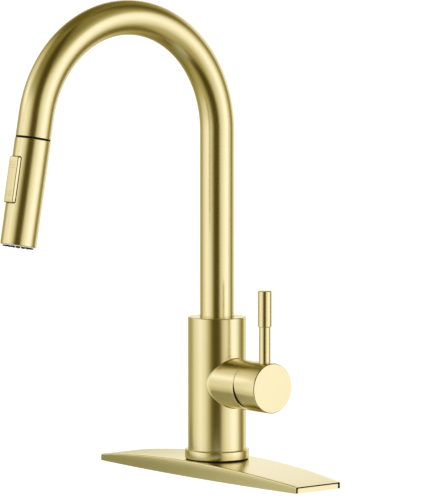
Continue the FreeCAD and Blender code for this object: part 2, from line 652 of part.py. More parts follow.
def make_rocker():
    """The pad, rounded on its front edges, with a drilled boss for its pin."""
    body = rounded_bar("RockerPad", "pad_width", "pad_length", "pad_back", "pad_front", "pad_round")
    front = -D.pad_front
    names = [f"Edge{number}" for number, edge in enumerate(body.Tip.Shape.Edges, start=1)
             if edge.BoundBox.YMax < front + 0.01]
    fillet_edges(body, "pad_round * 0.6", names)
    boss = cylinder("rocker_boss", "boss_length", "-boss_length / 2", "-rocker_depth",
                    f"-{ROCKER_LEVEL}", "x")
    hole = cylinder("rocker_pin + running_gap", "head_radius * 2", "-head_radius", "-rocker_depth",
                    f"-{ROCKER_LEVEL}", "x")
    subpart("rocker_button", cut(fuse(body, boss), hole), on_head_axis)
    pin = cylinder("rocker_pin", "rocker_pin_length", "-rocker_pin_length / 2", "-rocker_depth",
                   f"-{ROCKER_LEVEL}", "x")
    subpart("rocker_pin", together(pin), on_head_axis)


def make_head_core():
    """The plastic waterway inside the head, recessed behind the pad and drilled for the diverter."""
    core = turned("HeadCore", [("0", "-core_end"), ("core_radius", "-core_end"),
                               ("core_radius", "-head_magnet_low"),
                               ("magnet_bore + dock_gap", "-head_magnet_low"),
                               ("magnet_bore + dock_gap", "-head_magnet_high"),
                               ("0", "-head_magnet_high")])
    recess = block("pad_width + recess_side * 2", "recess_half * 2", "pad_length + recess_end * 2",
                   "0", "-recess_floor - recess_half",
                   f"-{ROCKER_LEVEL} - pad_length / 2 - recess_end")
    socket = cylinder("hose_nut_radius", "socket_end", z="-socket_end")
    water = cylinder("waterway", "water_length", "0", "waterway_y", "-core_end + water_foot")
    chamber = cylinder("core_radius - core_wall", "chamber_height + 0.5", z="-core_end - 0.5")
    plunger = cylinder("plunger_radius + running_gap", "plunger_way", "0", "-recess_floor - 1",
                       f"-{ROCKER_LEVEL} - plunger_drop", "y")
    ears = cylinder("rocker_pin", "head_radius * 2", "-head_radius", "-rocker_depth",
                    f"-{ROCKER_LEVEL}", "x")
    subpart("head_core", cut(core, recess, socket, water, chamber, plunger, ears), on_head_axis)


def make_hose_nut():
    """The nut that screws into the head and traps the swivel ball."""
    outer = fuse(hexagon("hex_radius", "hex_height", "-hex_foot"),
                 cylinder("hose_nut_radius", "hose_nut_end - hex_foot", z="-hose_nut_end"))
    seat = cylinder("ball_radius + ball_play", "seat_height", z="-cone_foot - seat_height")
    cone = doc.addObject("Part::Cone", "Cone")
    bind(cone, Radius1="ball_radius + ball_play", Radius2="nut_way", Height="cone_height")
    place(cone, z="-cone_foot")
    way = cylinder("nut_way", "hose_nut_end", z="-cone_foot")
    subpart("hose_nut", cut(outer, seat, cone, way), on_head_axis)
    washer = tube("HoseWasher", "washer_bore", "hose_nut_radius", "-socket_end", "-hose_nut_end")
    subpart("hose_washer", washer, on_head_axis)


def make_head_insides():
    magnet = tube("HeadMagnet", "magnet_bore + dock_gap", "core_radius", "-head_magnet_low",
                  "-head_magnet_high")
    subpart("head_magnet", magnet, on_head_axis)
    foot = "-core_end + water_foot + valve_play"
    step = f"{foot} + valve_nose_end"
    top = f"{foot} + valve_length"
    floor = f"{foot} + valve_floor"
    valve = turned("CheckValve", [("0", foot), ("valve_nose", foot), ("valve_nose", step),
                                  ("waterway", step), ("waterway", top), ("valve_bore", top),
                                  ("valve_bore", floor), ("0", floor)])
    subpart("check_valve", valve,
            lambda thing: place(thing, y=f"{DOCK_Y} + waterway_y * cos(spout_tilt * 1deg)",
                                z=f"{DOCK_Z} - waterway_y * sin(spout_tilt * 1deg)",
                                axis=(1, 0, 0), angle="-spout_tilt"))
    rod = cylinder("plunger_radius", "pad_back + plunger_back", "0", "-pad_back + plunger_gap",
                   f"-{ROCKER_LEVEL} - plunger_drop", "y")
    waist = cut(cylinder("plunger_radius + plunger_step", "waist_length", "0", "-waist_length / 2",
                         f"-{ROCKER_LEVEL} - plunger_drop", "y"),
                cylinder("plunger_radius - plunger_step", "waist_length + 1", "0",
                         "-waist_length / 2 - 0.5", f"-{ROCKER_LEVEL} - plunger_drop", "y"))
    subpart("diverter_plunger", cut(rod, waist), on_head_axis)


def make_spray_end():
    """The face with its nozzle holes, the rubber pad whose nubs fill them, and the aerator."""
    low = "-head_length - face_proud"
    high = "-head_length - face_proud + face_thick"
    rim = "head_radius - head_wall"
    face = turned("SprayFace", [("aerator_radius", low), (f"{rim} - face_chamfer", low),
                                (rim, f"{low} + face_chamfer"), (rim, high), ("aerator_radius", high)])
    holes = nozzle_ring("Holes", "nub_radius + nozzle_play", f"{low} - 1", "face_thick + 2")
    subpart("spray_face", cut(face, *holes), on_head_axis)
    pad = tube("NozzlePad", "aerator_radius", f"{rim} - nozzle_pad_gap", high, f"{high} + pad_thick")
    nubs = nozzle_ring("Nubs", "nub_radius", f"{low} - nub_proud", "face_thick + nub_proud * 2")
    subpart("nozzle_pad", fuse(pad, *nubs), on_head_axis)
    inner = "aerator_radius - aerator_wall"
    dish = f"{low} + aerator_dish"
    edge = f"{low} + aerator_recess"
    back = "-head_length + aerator_back"
    seat = "-head_length + aerator_seat"
    cup = turned("Aerator", [("0", dish), (inner, dish), (inner, edge), ("aerator_radius", edge),
                             ("aerator_radius", back), (inner, back), (inner, seat), ("0", seat)])
    subpart("aerator", cup, on_head_axis)


def nozzle_ring(name, radius, foot, height):
    """Two rings of small upright rods, made as pads repeated about the axis."""
    bodies = []
    for circle_radius, count in (("nub_inner", 12), ("nub_outer", 18)):
        body = new_body(name)
        sketch = sketch_on(body, "XY_Plane")
        bind(sketch, **{"AttachmentOffset.Base.z": foot})
        circle(sketch, radius, circle_radius)
        pad = body.newObject("PartDesign::Pad", "Rod")
        pad.Profile = sketch
        bind(pad, Length=height)
        doc.recompute()
        repeat = body.newObject("PartDesign::PolarPattern", "Repeat")
        repeat.Originals = [pad]
        repeat.Axis = (sketch, ["N_Axis"])
        repeat.Angle = 360
        repeat.Occurrences = count
        body.Tip = repeat
        doc.recompute()
        bodies.append(body)
    return bodies


# ---------------------------------------------------------------- cartridge, on the handle's axis

def make_cartridge_fixed():
    """The seals, base, fixed disc and housing, held by the bonnet nut."""
    floor = "pocket_floor"
    seats = (("0", "-port_circle"), ("0", "port_circle"),
             ("handle_axis - mixed_level", "port_circle * sin(60deg)"))
    seals = []
    ways = []
    for x, y in seats:
        seals.append(cut(cylinder("seal_radius", "seal_thick", x, y, floor),
                         cylinder("drill_radius", "seal_thick + 2", x, y, f"{floor} - 1")))
        ways.append(cylinder("drill_radius", "base_thick + 10", x, y, f"{floor} - 1"))
    seats_cut = [cylinder("seal_radius", "seal_thick + seal_sink", x, y, f"{floor} - seal_sink")
                 for x, y in seats]
    subpart("cartridge_seals", together(*seals), on_handle_axis)
    base = cylinder("cartridge_radius", "base_thick", z=floor)
    subpart("cartridge_base", cut(base, *ways, *seats_cut), on_handle_axis)
    disc = cylinder("cartridge_radius - housing_wall - disc_play", "fixed_end - pocket_floor - base_thick",
                    z=f"{floor} + base_thick")
    subpart("fixed_disc", cut(disc, *ways), on_handle_axis)
    inner = "cartridge_radius - housing_wall"
    foot = f"{floor} + base_thick"
    neck = "rotor_neck + mouth_gap"
    under = "rotor_shoulder + mouth_gap"
    housing = turned("Housing", [(inner, foot), ("cartridge_radius", foot),
                                 ("cartridge_radius", "housing_end"), (neck, "housing_end"),
                                 (neck, under), (inner, under)])
    subpart("cartridge_housing", housing, on_handle_axis)
    nut = tube("Bonnet", "bonnet_bore", "pocket_radius", "housing_end", "bonnet_end")
    across = "pocket_radius * 3"
    slots = [block("spanner_slot", across, "spanner_slot", z="bonnet_end - spanner_slot + 1"),
             block(across, "spanner_slot", "spanner_slot", z="bonnet_end - spanner_slot + 1")]
    subpart("bonnet_nut", cut(nut, *slots), on_handle_axis)


def make_cartridge_moving():
    """The sliding disc and its carrier, the rotor that turns them and the pin of the stem."""
    disc = cylinder("disc_radius", "moving_end - fixed_end - disc_gap", z="fixed_end + disc_gap")
    chamber = cylinder("disc_radius - disc_rim", "disc_rim / 2", z="fixed_end")
    subpart("moving_disc", cut(disc, chamber), on_handle_axis)
    carrier = cylinder("disc_radius", "carrier_end - moving_end", z="moving_end")
    notch = cylinder("foot_ball + notch_play", "carrier_end - moving_end", z="moving_end + notch_floor")
    subpart("disc_carrier", cut(carrier, notch), on_handle_axis)
    foot = "carrier_end + rotor_gap"
    rotor = turned("Rotor", [("0", foot), ("rotor_radius", foot),
                             ("rotor_radius", "rotor_shoulder"), ("rotor_neck", "rotor_shoulder"),
                             ("rotor_neck", "rotor_end"), ("0", "rotor_end")])
    slot = block("stem_slot_length", "stem_slot_width", "rotor_end - carrier_end + 1", z="carrier_end")
    pin_hole = cylinder("pin_radius", "rotor_radius * 3", "0", "-rotor_radius * 1.5", "pivot_reach", "y")
    subpart("cartridge_rotor", cut(rotor, slot, pin_hole), on_handle_axis)
    pin = cylinder("pin_radius", "stem_pin_length", "0", "-stem_pin_length / 2", "pivot_reach", "y")
    subpart("stem_pin", together(pin), on_handle_axis)


def slope_wedge(start):
    """A block behind a plane that is upright above a level near the axis and leans out below it."""
    body = new_body("Wedge")
    sketch = sketch_on(body, "XZ_Plane")
    reach = "(boss_radius * 2)"
    outline(sketch, [(start, "slope_start"), (start, reach), ("0", reach), ("0", f"-{reach}"),
                     (f"{start} + ({reach} + slope_start) * tan(hub_slope * 1deg)", f"-{reach}")])
    pad = body.newObject("PartDesign::Pad", "Block")
    pad.Profile = sketch
    pad.Midplane = True
    bind(pad, Length="boss_radius * 4")
    doc.recompute()
    place(body, z="handle_axis")
    return body


def make_dust_ring():
    """The black ring that closes the gap behind the tilting hub."""
    disc_end = "dust_back + dust_disc"
    body = on_handle_axis(turned("DustRing", [("rotor_neck", "dust_back"), ("dust_radius", "dust_back"),
                                              ("dust_radius", "hub_floor"), ("dust_bore", "hub_floor"),
                                              ("dust_bore", disc_end), ("rotor_neck", disc_end)]))
    wedge = slope_wedge("hub_back + dust_reach")
    clipped = doc.addObject("Part::Common", "Clipped")
    clipped.Base = body
    clipped.Tool = wedge
    doc.recompute()
    subpart("dust_ring", clipped)


def make_stem():
    """The steel stem: a small ball in the disc carrier, a flat blade on the pin, a square drive."""
    foot = ball("foot_ball", "foot_level")
    rod = cylinder("shaft_radius", "pivot_reach - carrier_end", z="carrier_end")
    blade = block("blade", "blade", "blade_length", z="pivot_reach - blade_back")
    drive = block("stem_half * 2", "stem_half * 2", "stem_end - pivot_reach - blade_back",
                  z="pivot_reach + blade_back")
    hole = cylinder("pin_radius + running_gap", "blade * 2", "0", "-blade", "pivot_reach", "y")
    subpart("cartridge_stem", cut(fuse(foot, rod, blade, drive), hole), on_handle_axis)


def make_hub():
    """The drum of the handle: a thin rim that slopes back below the axis, and a solid nose."""
    rim = "boss_radius - hub_wall"
    body = turned("Hub", [("0", "hub_floor"), (rim, "hub_floor"), (rim, "hub_back"),
                          ("boss_radius", "hub_back"), ("boss_radius", "hub_face"), ("0", "hub_face")])
    rounded(body, "hub_edge", (D.boss_radius, D.hub_face))
    on_handle_axis(body)
    side = "stem_half * 2"
    drive = doc.addObject("Part::Box", "Drive")
    bind(drive, Length="stem_end - hub_floor", Width=side, Height=side)
    place(drive, "hub_floor", "-stem_half", "handle_axis - stem_half")
    stud = cylinder("stud_radius", "boss_radius", "lever_reach", "0", "stud_foot")
    screw = cylinder("screw_radius", "boss_radius", "lever_reach", "0",
                     "handle_axis - stem_half - boss_radius")
    wedge = slope_wedge("hub_back")
    subpart("handle_hub", cut(body, wedge, drive, stud, screw))


def make_lever():
    """The lever's stem, coped onto the hub, and the thicker grip on top."""
    stem = place(turned("LeverStem", [("0", "handle_axis"), ("lever_radius", "handle_axis"),
                                      ("lever_radius", "lever_step"), ("stud_radius", "lever_step"),
                                      ("stud_radius", "stud_top"), ("0", "stud_top")]), x="lever_reach")
    drum = cylinder("boss_radius", "boss_radius * 2", "lever_reach - boss_radius", "0", "handle_axis", "x")
    stud = cylinder("stud_radius", "lever_step - stud_foot - stud_fit", "lever_reach", "0", "stud_foot")
    subpart("lever_stem", fuse(cut(stem, drum), stud))
    grip = turned("LeverGrip", [("0", "stud_top"), ("stud_radius", "stud_top"),
                                ("stud_radius", "lever_step"),
                                ("grip_radius - grip_edge", "lever_step"),
                                ("grip_radius", "lever_step + grip_edge"),
                                ("grip_radius", "lever_top - grip_edge"),
                                ("grip_radius - grip_edge", "lever_top"), ("0", "lever_top")])
    subpart("lever_grip", grip, lambda thing: place(thing, x="lever_reach"))
    foot = "handle_axis - stem_half - screw_length"
    screw = cylinder("screw_radius", "screw_length", "lever_reach", "0", foot)
    key = hexagon("key_radius", "key_depth + 0.5")
    place(key, "lever_reach", "0", f"{foot} - 0.5")
    subpart("handle_set_screw", cut(screw, key))


# ---------------------------------------------------------------- under the deck

def make_mounting_hardware():
    """The rubber and steel washers, the flanged nut and its two jack screws."""
    bore = "thread_radius + nut_clearance"
    rubber_low = "-deck_thick - rubber_thick"
    steel_low = "-deck_thick - rubber_thick - steel_thick"
    nut_low = f"{steel_low} - nut_height"
    subpart("mounting_washer_rubber", tube("Rubber", bore, "washer_radius", rubber_low, "-deck_thick"))
    steel = tube("Steel", bore, "washer_radius - washer_step", steel_low, rubber_low)
    subpart("mounting_washer_steel", steel)
    flange = cylinder("washer_radius - washer_step", "flange_thick", z=f"{steel_low} - flange_thick")
    drum = hexagon("nut_radius", "nut_height", nut_low)
    holes = []
    screws = []
    for side in ("-1", "1"):
        x = f"{side} * jack_circle"
        holes.append(cylinder("jack_radius", "nut_height + 2", x, "0", f"{nut_low} - 1"))
        foot = f"{steel_low} - jack_length"
        shaft = cylinder("jack_radius", "jack_length - jack_head", x, "0", f"{foot} + jack_head")
        head = cylinder("jack_radius * jack_head_scale", "jack_head", x, "0", foot)
        drive = block("slot_length * 1.5", "slot_width", "slot_depth + 1", x, "0", f"{foot} - 1")
        screws.append(cut(fuse(shaft, head), drive))
    through = cylinder(bore, "nut_height + 2", z=f"{nut_low} - 1")
    subpart("mounting_nut", cut(fuse(flange, drum), through, *holes))
    subpart("nut_screws", together(*screws))


def check_and_export():
    """Stop on any failed object or bad shape, then write one file per sub-part."""
    doc.recompute()
    for thing in doc.Objects:
        if "Invalid" in thing.State or "Error" in thing.State:
            raise ValueError(f"{thing.Name} ({thing.Label}) failed: {thing.State}")
    for thing in SUBPARTS:
        if thing.Shape.isNull() or not thing.Shape.isValid():
            raise ValueError(f"{thing.Label} has no valid shape")
    os.makedirs("parts", exist_ok=True)
    for thing in SUBPARTS:
        thing.Shape.exportStep(f"parts/{thing.Label}.step")
        print(f"{thing.Label}: {len(thing.Shape.Solids)} solid(s), {thing.Shape.Volume:.0f} mm3")


make_sheet()
make_deck_plate()
make_plate_base()
make_deck_gasket()
make_base_gasket()
make_base_ring()
make_body_shell()
make_side_boss()
make_shank()
make_valve_body()
make_spout_bearings()
make_spout_tube()
make_spout_pivot()
make_dock()
make_hose()
make_hose_end()
make_head_shell()
make_rocker()
make_head_core()
make_hose_nut()
make_head_insides()
make_spray_end()
make_cartridge_fixed()
make_cartridge_moving()
make_dust_ring()
make_stem()
make_hub()
make_lever()
make_mounting_hardware()
check_and_export()
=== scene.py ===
import json
import math

import bmesh
import bpy
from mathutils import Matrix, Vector


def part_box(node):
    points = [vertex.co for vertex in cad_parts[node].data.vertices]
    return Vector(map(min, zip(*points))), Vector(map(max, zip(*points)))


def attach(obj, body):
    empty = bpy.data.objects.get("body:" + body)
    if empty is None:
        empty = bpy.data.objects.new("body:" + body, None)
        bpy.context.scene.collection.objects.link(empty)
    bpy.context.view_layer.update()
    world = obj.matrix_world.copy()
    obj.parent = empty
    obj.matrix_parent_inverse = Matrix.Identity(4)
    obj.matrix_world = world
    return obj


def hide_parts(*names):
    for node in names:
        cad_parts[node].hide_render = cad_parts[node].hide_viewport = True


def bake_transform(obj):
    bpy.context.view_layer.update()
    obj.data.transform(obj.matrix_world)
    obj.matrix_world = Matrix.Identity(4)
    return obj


# Pull-down kitchen faucet: looks around the fixed frame. Metres, +Z up, -Y to the sink.

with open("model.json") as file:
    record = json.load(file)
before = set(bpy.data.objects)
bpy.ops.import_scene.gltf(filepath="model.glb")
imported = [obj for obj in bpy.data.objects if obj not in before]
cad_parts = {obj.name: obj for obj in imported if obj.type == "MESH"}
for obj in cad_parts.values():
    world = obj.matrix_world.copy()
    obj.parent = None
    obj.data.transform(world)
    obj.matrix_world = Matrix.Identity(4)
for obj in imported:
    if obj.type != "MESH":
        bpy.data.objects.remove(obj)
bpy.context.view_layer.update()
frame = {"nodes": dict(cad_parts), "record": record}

MM = 0.001
NODES = frame["nodes"]
JOINTS = {joint["name"]: joint for joint in frame["record"]["behaviour"]["joints"]}


# ---------------------------------------------------------------- places from the frame

HEAD_AXIS = Vector(JOINTS["head_pull"]["axis"])          # down the spray head
DOCK = Vector(JOINTS["head_spin"]["pos_m"])              # centre of the dock line
PUSH_AXIS = Vector(JOINTS["diverter_shift"]["axis"])     # into the head, behind the pad
SIDE = HEAD_AXIS.cross(PUSH_AXIS)                        # across the head
HANDLE_AXIS_LEVEL = JOINTS["flow_tilt"]["pos_m"][2]


def in_head(across, front, down):
    """A point given across the head, in front of its axis and below the dock line."""
    return DOCK + SIDE * across - PUSH_AXIS * front + HEAD_AXIS * down


# ---------------------------------------------------------------- camera

CAMERA_AZIMUTH = math.radians(50.35)
CAMERA_AWAY = 2.7716
CAMERA_LEVEL = 0.3978
CAMERA_HEADING = math.radians(50.43)
CAMERA_PITCH = math.radians(4.29)
CAMERA_LENS = 237.6
CAMERA_SENSOR = 36.0
CAMERA_FAR = 50.0


def make_camera():
    bpy.context.scene.view_settings.view_transform = "Standard"
    data = bpy.data.cameras.new("camera")
    data.lens = CAMERA_LENS
    data.sensor_width = CAMERA_SENSOR
    data.clip_end = CAMERA_FAR
    camera = bpy.data.objects.new("camera", data)
    bpy.context.scene.collection.objects.link(camera)
    camera.location = (math.sin(CAMERA_AZIMUTH) * CAMERA_AWAY,
                       -math.cos(CAMERA_AZIMUTH) * CAMERA_AWAY, CAMERA_LEVEL)
    ahead = Vector((-math.sin(CAMERA_HEADING) * math.cos(CAMERA_PITCH),
                    math.cos(CAMERA_HEADING) * math.cos(CAMERA_PITCH), -math.sin(CAMERA_PITCH)))
    camera.rotation_euler = ahead.to_track_quat("-Z", "Y").to_euler()
    bpy.context.scene.camera = camera


# ---------------------------------------------------------------- node helpers

def link(tree, source, target):
    tree.links.new(source, target)


def math_node(tree, operation, first, second=None, third=None, clamp=False):
    node = tree.nodes.new("ShaderNodeMath")
    node.operation = operation
    node.use_clamp = clamp
    for socket, value in zip(node.inputs, (first, second, third)):
        if value is None:
            continue
        if isinstance(value, (int, float)):
            socket.default_value = value
        else:
            link(tree, value, socket)
    return node.outputs[0]


def ramp(tree, factor, stops, interpolation="EASE"):
    node = tree.nodes.new("ShaderNodeValToRGB")
    node.color_ramp.interpolation = interpolation
    elements = node.color_ramp.elements
    while len(elements) < len(stops):
        elements.new(0.5)
    for element, (position, value) in zip(elements, stops):
        element.position = position
        colour = value if isinstance(value, tuple) else (value, value, value)
        element.color = (*colour, 1.0)
    link(tree, factor, node.inputs[0])
    return node.outputs[0]


# ---------------------------------------------------------------- studio

def around(degrees):
    """Place on the ramp of a direction that many degrees to the camera's right."""
    return 0.5 + degrees / 360.0


# Light seen in each direction, in degrees to the camera's right: two wide soft panels,
# the dark gap that the camera stands in, and the dim room behind the faucet.
PANELS = ((-180, 0.42), (-150, 0.34), (-126, 0.30), (-96, 0.70), (-70, 0.89), (-48, 0.75),
          (-30, 0.37), (-20, 0.03), (0, 0.015), (11, 0.03), (23, 0.58), (40, 0.80), (66, 1.0),
          (84, 0.94), (104, 0.34), (117, 0.10), (130, 0.42), (144, 0.80), (180, 0.45))
# How much of it there is at each height, from straight down, 0, to straight up, 1.
LEVELS = ((0.0, 0.30), (0.14, 0.40), (0.34, 0.78), (0.46, 1.0), (0.66, 0.95), (0.78, 0.36),
          (0.88, 0.20), (1.0, 0.18))
# Soft lights of their own: degrees to the right, degrees up, width in degrees, strength.
GLOWS = ((180, 15, 17, 0.42), (-112, 31, 30, 0.42))
LIGHT = 1.25
AMBIENT = 0.045
WARMTH = (1.0, 1.11, 1.85)          # little light is warm, strong light is white
BACKDROP = 1.06
FLOOR_GLOW = 1.34
FLOOR_SHARE = 0.75                  # how much of the floor's look is its own glow
FLOOR_PAINT = (0.9, 0.9, 0.9)
FLOOR_HALF = 12.0
FLOOR_LEVEL = -0.0003
CARD = ((-0.34, -0.02), (0.14, -0.125))      # across X and Y, along the plate's front
CARD_LEVEL = -0.0002
CARD_GLOW = ((0.0, (0.20, 0.18, 0.07)), (0.5, (0.31, 0.30, 0.16)), (1.0, (0.55, 0.55, 0.38)))


def aim(degrees, elevation):
    """The direction that many degrees to the camera's right and above the level."""
    turn = CAMERA_AZIMUTH + math.radians(degrees)
    lift = math.radians(elevation)
    return (math.sin(turn) * math.cos(lift), -math.cos(turn) * math.cos(lift), math.sin(lift))


def make_world():
    """A plain studio: soft light panels left and right of a dark gap, dim above and below."""
    world = bpy.data.worlds.new("studio")
    bpy.context.scene.world = world
    world.use_nodes = True
    tree = world.node_tree
    tree.nodes.clear()
    place = tree.nodes.new("ShaderNodeTexCoord")
    split = tree.nodes.new("ShaderNodeSeparateXYZ")
    link(tree, place.outputs["Generated"], split.inputs[0])
    x, y, z = split.outputs
    towards = math_node(tree, "ADD", math_node(tree, "MULTIPLY", x, math.sin(CAMERA_AZIMUTH)),
                        math_node(tree, "MULTIPLY", y, -math.cos(CAMERA_AZIMUTH)))
    right = math_node(tree, "ADD", math_node(tree, "MULTIPLY", x, math.cos(CAMERA_AZIMUTH)),
                      math_node(tree, "MULTIPLY", y, math.sin(CAMERA_AZIMUTH)))
    angle = math_node(tree, "ARCTAN2", right, towards)
    turn = math_node(tree, "ADD", math_node(tree, "DIVIDE", angle, 2 * math.pi), 0.5)
    panels = ramp(tree, turn, [(around(degrees), value) for degrees, value in PANELS])
    height = math_node(tree, "MULTIPLY_ADD", z, 0.5, 0.5)
    light = math_node(tree, "MULTIPLY", panels, ramp(tree, height, LEVELS))
    light = math_node(tree, "ADD", light, AMBIENT)
    for degrees, elevation, width, strength in GLOWS:
        facing = tree.nodes.new("ShaderNodeVectorMath")
        facing.operation = "DOT_PRODUCT"
        link(tree, place.outputs["Generated"], facing.inputs[0])
        facing.inputs[1].default_value = aim(degrees, elevation)
        edge = math.cos(math.radians(width))
        glow = ramp(tree, facing.outputs["Value"], [(edge, 0.0), (1.0, strength)])
        light = math_node(tree, "ADD", light, glow)
    tint = tree.nodes.new("ShaderNodeCombineColor")
    for socket, power in zip(tint.inputs, WARMTH):
        link(tree, math_node(tree, "POWER", light, power), socket)
    lit = tree.nodes.new("ShaderNodeBackground")
    link(tree, tint.outputs[0], lit.inputs["Color"])
    lit.inputs["Strength"].default_value = LIGHT
    plain = tree.nodes.new("ShaderNodeBackground")
    plain.inputs["Color"].default_value = (1.0, 1.0, 1.0, 1.0)
    plain.inputs["Strength"].default_value = BACKDROP
    path = tree.nodes.new("ShaderNodeLightPath")
    mix = tree.nodes.new("ShaderNodeMixShader")
    link(tree, path.outputs["Is Camera Ray"], mix.inputs[0])
    link(tree, lit.outputs[0], mix.inputs[1])
    link(tree, plain.outputs[0], mix.inputs[2])
    output = tree.nodes.new("ShaderNodeOutputWorld")
    link(tree, mix.outputs[0], output.inputs["Surface"])


def make_floor():
    """A pale deck. It is lit from above and clear from below, so the fixings under it can be seen."""
    mesh = bpy.data.meshes.new("floor")
    corners = [(-FLOOR_HALF, -FLOOR_HALF), (FLOOR_HALF, -FLOOR_HALF),
               (FLOOR_HALF, FLOOR_HALF), (-FLOOR_HALF, FLOOR_HALF)]
    mesh.from_pydata([(x, y, FLOOR_LEVEL) for x, y in corners], [], [(0, 1, 2, 3)])
    floor = bpy.data.objects.new("floor", mesh)
    bpy.context.scene.collection.objects.link(floor)
    floor.visible_glossy = False
    material = bpy.data.materials.new("floor")
    material.use_nodes = True
    tree = material.node_tree
    tree.nodes.clear()
    paint = tree.nodes.new("ShaderNodeBsdfDiffuse")
    paint.inputs["Color"].default_value = (*FLOOR_PAINT, 1.0)
    glow = tree.nodes.new("ShaderNodeEmission")
    glow.inputs["Strength"].default_value = FLOOR_GLOW
    mix = tree.nodes.new("ShaderNodeMixShader")
    mix.inputs[0].default_value = FLOOR_SHARE
    clear = tree.nodes.new("ShaderNodeBsdfTransparent")
    sides = tree.nodes.new("ShaderNodeMixShader")
    geometry = tree.nodes.new("ShaderNodeNewGeometry")
    output = tree.nodes.new("ShaderNodeOutputMaterial")
    link(tree, paint.outputs[0], mix.inputs[1])
    link(tree, glow.outputs[0], mix.inputs[2])
    link(tree, geometry.outputs["Backfacing"], sides.inputs[0])
    link(tree, mix.outputs[0], sides.inputs[1])
    link(tree, clear.outputs[0], sides.inputs[2])
    link(tree, sides.outputs[0], output.inputs["Surface"])
    floor.data.materials.append(material)


def make_card():
    """A dim card that lies along the plate's front. It is seen only in the metal."""
    (left, near), (right, far) = CARD
    mesh = bpy.data.meshes.new("card")
    corners = [(left, far), (right, far), (right, near), (left, near)]
    mesh.from_pydata([(x, y, CARD_LEVEL) for x, y in corners], [], [(0, 1, 2, 3)])
    card = bpy.data.objects.new("card", mesh)
    bpy.context.scene.collection.objects.link(card)
    card.visible_camera = False
    card.visible_diffuse = False
    card.visible_shadow = False
    card.visible_transmission = False
    material = bpy.data.materials.new("card")
    material.use_nodes = True
    tree = material.node_tree
    tree.nodes.clear()
    place = tree.nodes.new("ShaderNodeTexCoord")
    split = tree.nodes.new("ShaderNodeSeparateXYZ")
    link(tree, place.outputs["Generated"], split.inputs[0])
    glow = tree.nodes.new("ShaderNodeEmission")
    link(tree, ramp(tree, split.outputs["X"], CARD_GLOW), glow.inputs["Color"])
    output = tree.nodes.new("ShaderNodeOutputMaterial")
    link(tree, glow.outputs[0], output.inputs["Surface"])
    mesh.materials.append(material)


# ---------------------------------------------------------------- materials

def new_material(name, colour, metallic, roughness):
    material = bpy.data.materials.new(name)
    material.use_nodes = True
    shader = material.node_tree.nodes["Principled BSDF"]
    shader.inputs["Base Color"].default_value = (*colour, 1.0)
    shader.inputs["Metallic"].default_value = metallic
    shader.inputs["Roughness"].default_value = roughness
    return material, material.node_tree, shader


def grain(tree, scale, stretch=(1, 1, 1), detail=4.0, roughness=0.6):
    """Fine noise in the object's own metres, stretched by scale factors along X, Y and Z."""
    place = tree.nodes.new("ShaderNodeTexCoord")
    mapping = tree.nodes.new("ShaderNodeMapping")
    mapping.inputs["Scale"].default_value = stretch
    noise = tree.nodes.new("ShaderNodeTexNoise")
    noise.inputs["Scale"].default_value = scale
    noise.inputs["Detail"].default_value = detail
    noise.inputs["Roughness"].default_value = roughness
    link(tree, place.outputs["Object"], mapping.inputs["Vector"])
    link(tree, mapping.outputs[0], noise.inputs["Vector"])
    return noise.outputs["Fac"]


NOISE_LOW = 0.3                     # most of a noise lies between these two
NOISE_HIGH = 0.7


def spread(tree, factor, low, high):
    node = tree.nodes.new("ShaderNodeMapRange")
    node.inputs["From Min"].default_value = NOISE_LOW
    node.inputs["From Max"].default_value = NOISE_HIGH
    node.inputs["To Min"].default_value = low
    node.inputs["To Max"].default_value = high
    link(tree, factor, node.inputs["Value"])
    return node.outputs[0]


def blend_colours(tree, factor, first, second):
    node = tree.nodes.new("ShaderNodeMix")
    node.data_type = "RGBA"
    node.inputs["A"].default_value = (*first, 1.0)
    node.inputs["B"].default_value = (*second, 1.0)
    link(tree, factor, node.inputs["Factor"])
    return node.outputs["Result"]


def bump(tree, shader, height, strength, distance):
    node = tree.nodes.new("ShaderNodeBump")
    node.inputs["Strength"].default_value = strength
    node.inputs["Distance"].default_value = distance
    link(tree, height, node.inputs["Height"])
    link(tree, node.outputs[0], shader.inputs["Normal"])


GOLD = (0.850, 0.757, 0.484)
GOLD_PALE = (0.870, 0.777, 0.504)
METAL_CLOUDS = 14.0                 # scales of the noises
METAL_LINES = 420.0
PLASTIC_CLOUDS = 60.0
PLASTIC_PEBBLE = 2600.0
LINE_BUMP = (0.02, 0.000005)        # strength and distance
PEBBLE_BUMP = (0.12, 0.00004)
PEBBLE_GLOSS = 0.06                 # the pebble moves the roughness this far each way


def brushed_metal(name, colour, pale, rough_low, rough_high, stretch):
    """Satin metal: soft cloudiness in colour, and fine brushed lines in roughness and height."""
    material, tree, shader = new_material(name, colour, 1.0, 0.3)
    cloud = spread(tree, grain(tree, METAL_CLOUDS, detail=2.0), 0.0, 1.0)
    lines = grain(tree, METAL_LINES, stretch, detail=5.0, roughness=0.65)
    link(tree, blend_colours(tree, cloud, colour, pale), shader.inputs["Base Color"])
    link(tree, spread(tree, lines, rough_low, rough_high), shader.inputs["Roughness"])
    bump(tree, shader, lines, *LINE_BUMP)
    return material


def plastic(name, colour, rough, speckle=0.04, sheen=0.5):
    """Moulded plastic: a fine pebble in the surface and a slight unevenness in colour."""
    material, tree, shader = new_material(name, colour, 0.0, rough)
    fine = grain(tree, PLASTIC_PEBBLE, detail=3.0)
    cloud = spread(tree, grain(tree, PLASTIC_CLOUDS, detail=2.0), 0.0, 1.0)
    shader.inputs["Specular IOR Level"].default_value = sheen
    paler = tuple(min(1.0, part * (1 + speckle) + speckle * 0.1) for part in colour)
    link(tree, blend_colours(tree, cloud, colour, paler), shader.inputs["Base Color"])
    gloss = spread(tree, fine, rough - PEBBLE_GLOSS, rough + PEBBLE_GLOSS)
    link(tree, gloss, shader.inputs["Roughness"])
    bump(tree, shader, fine, *PEBBLE_BUMP)
    return material


LOOKS = {}


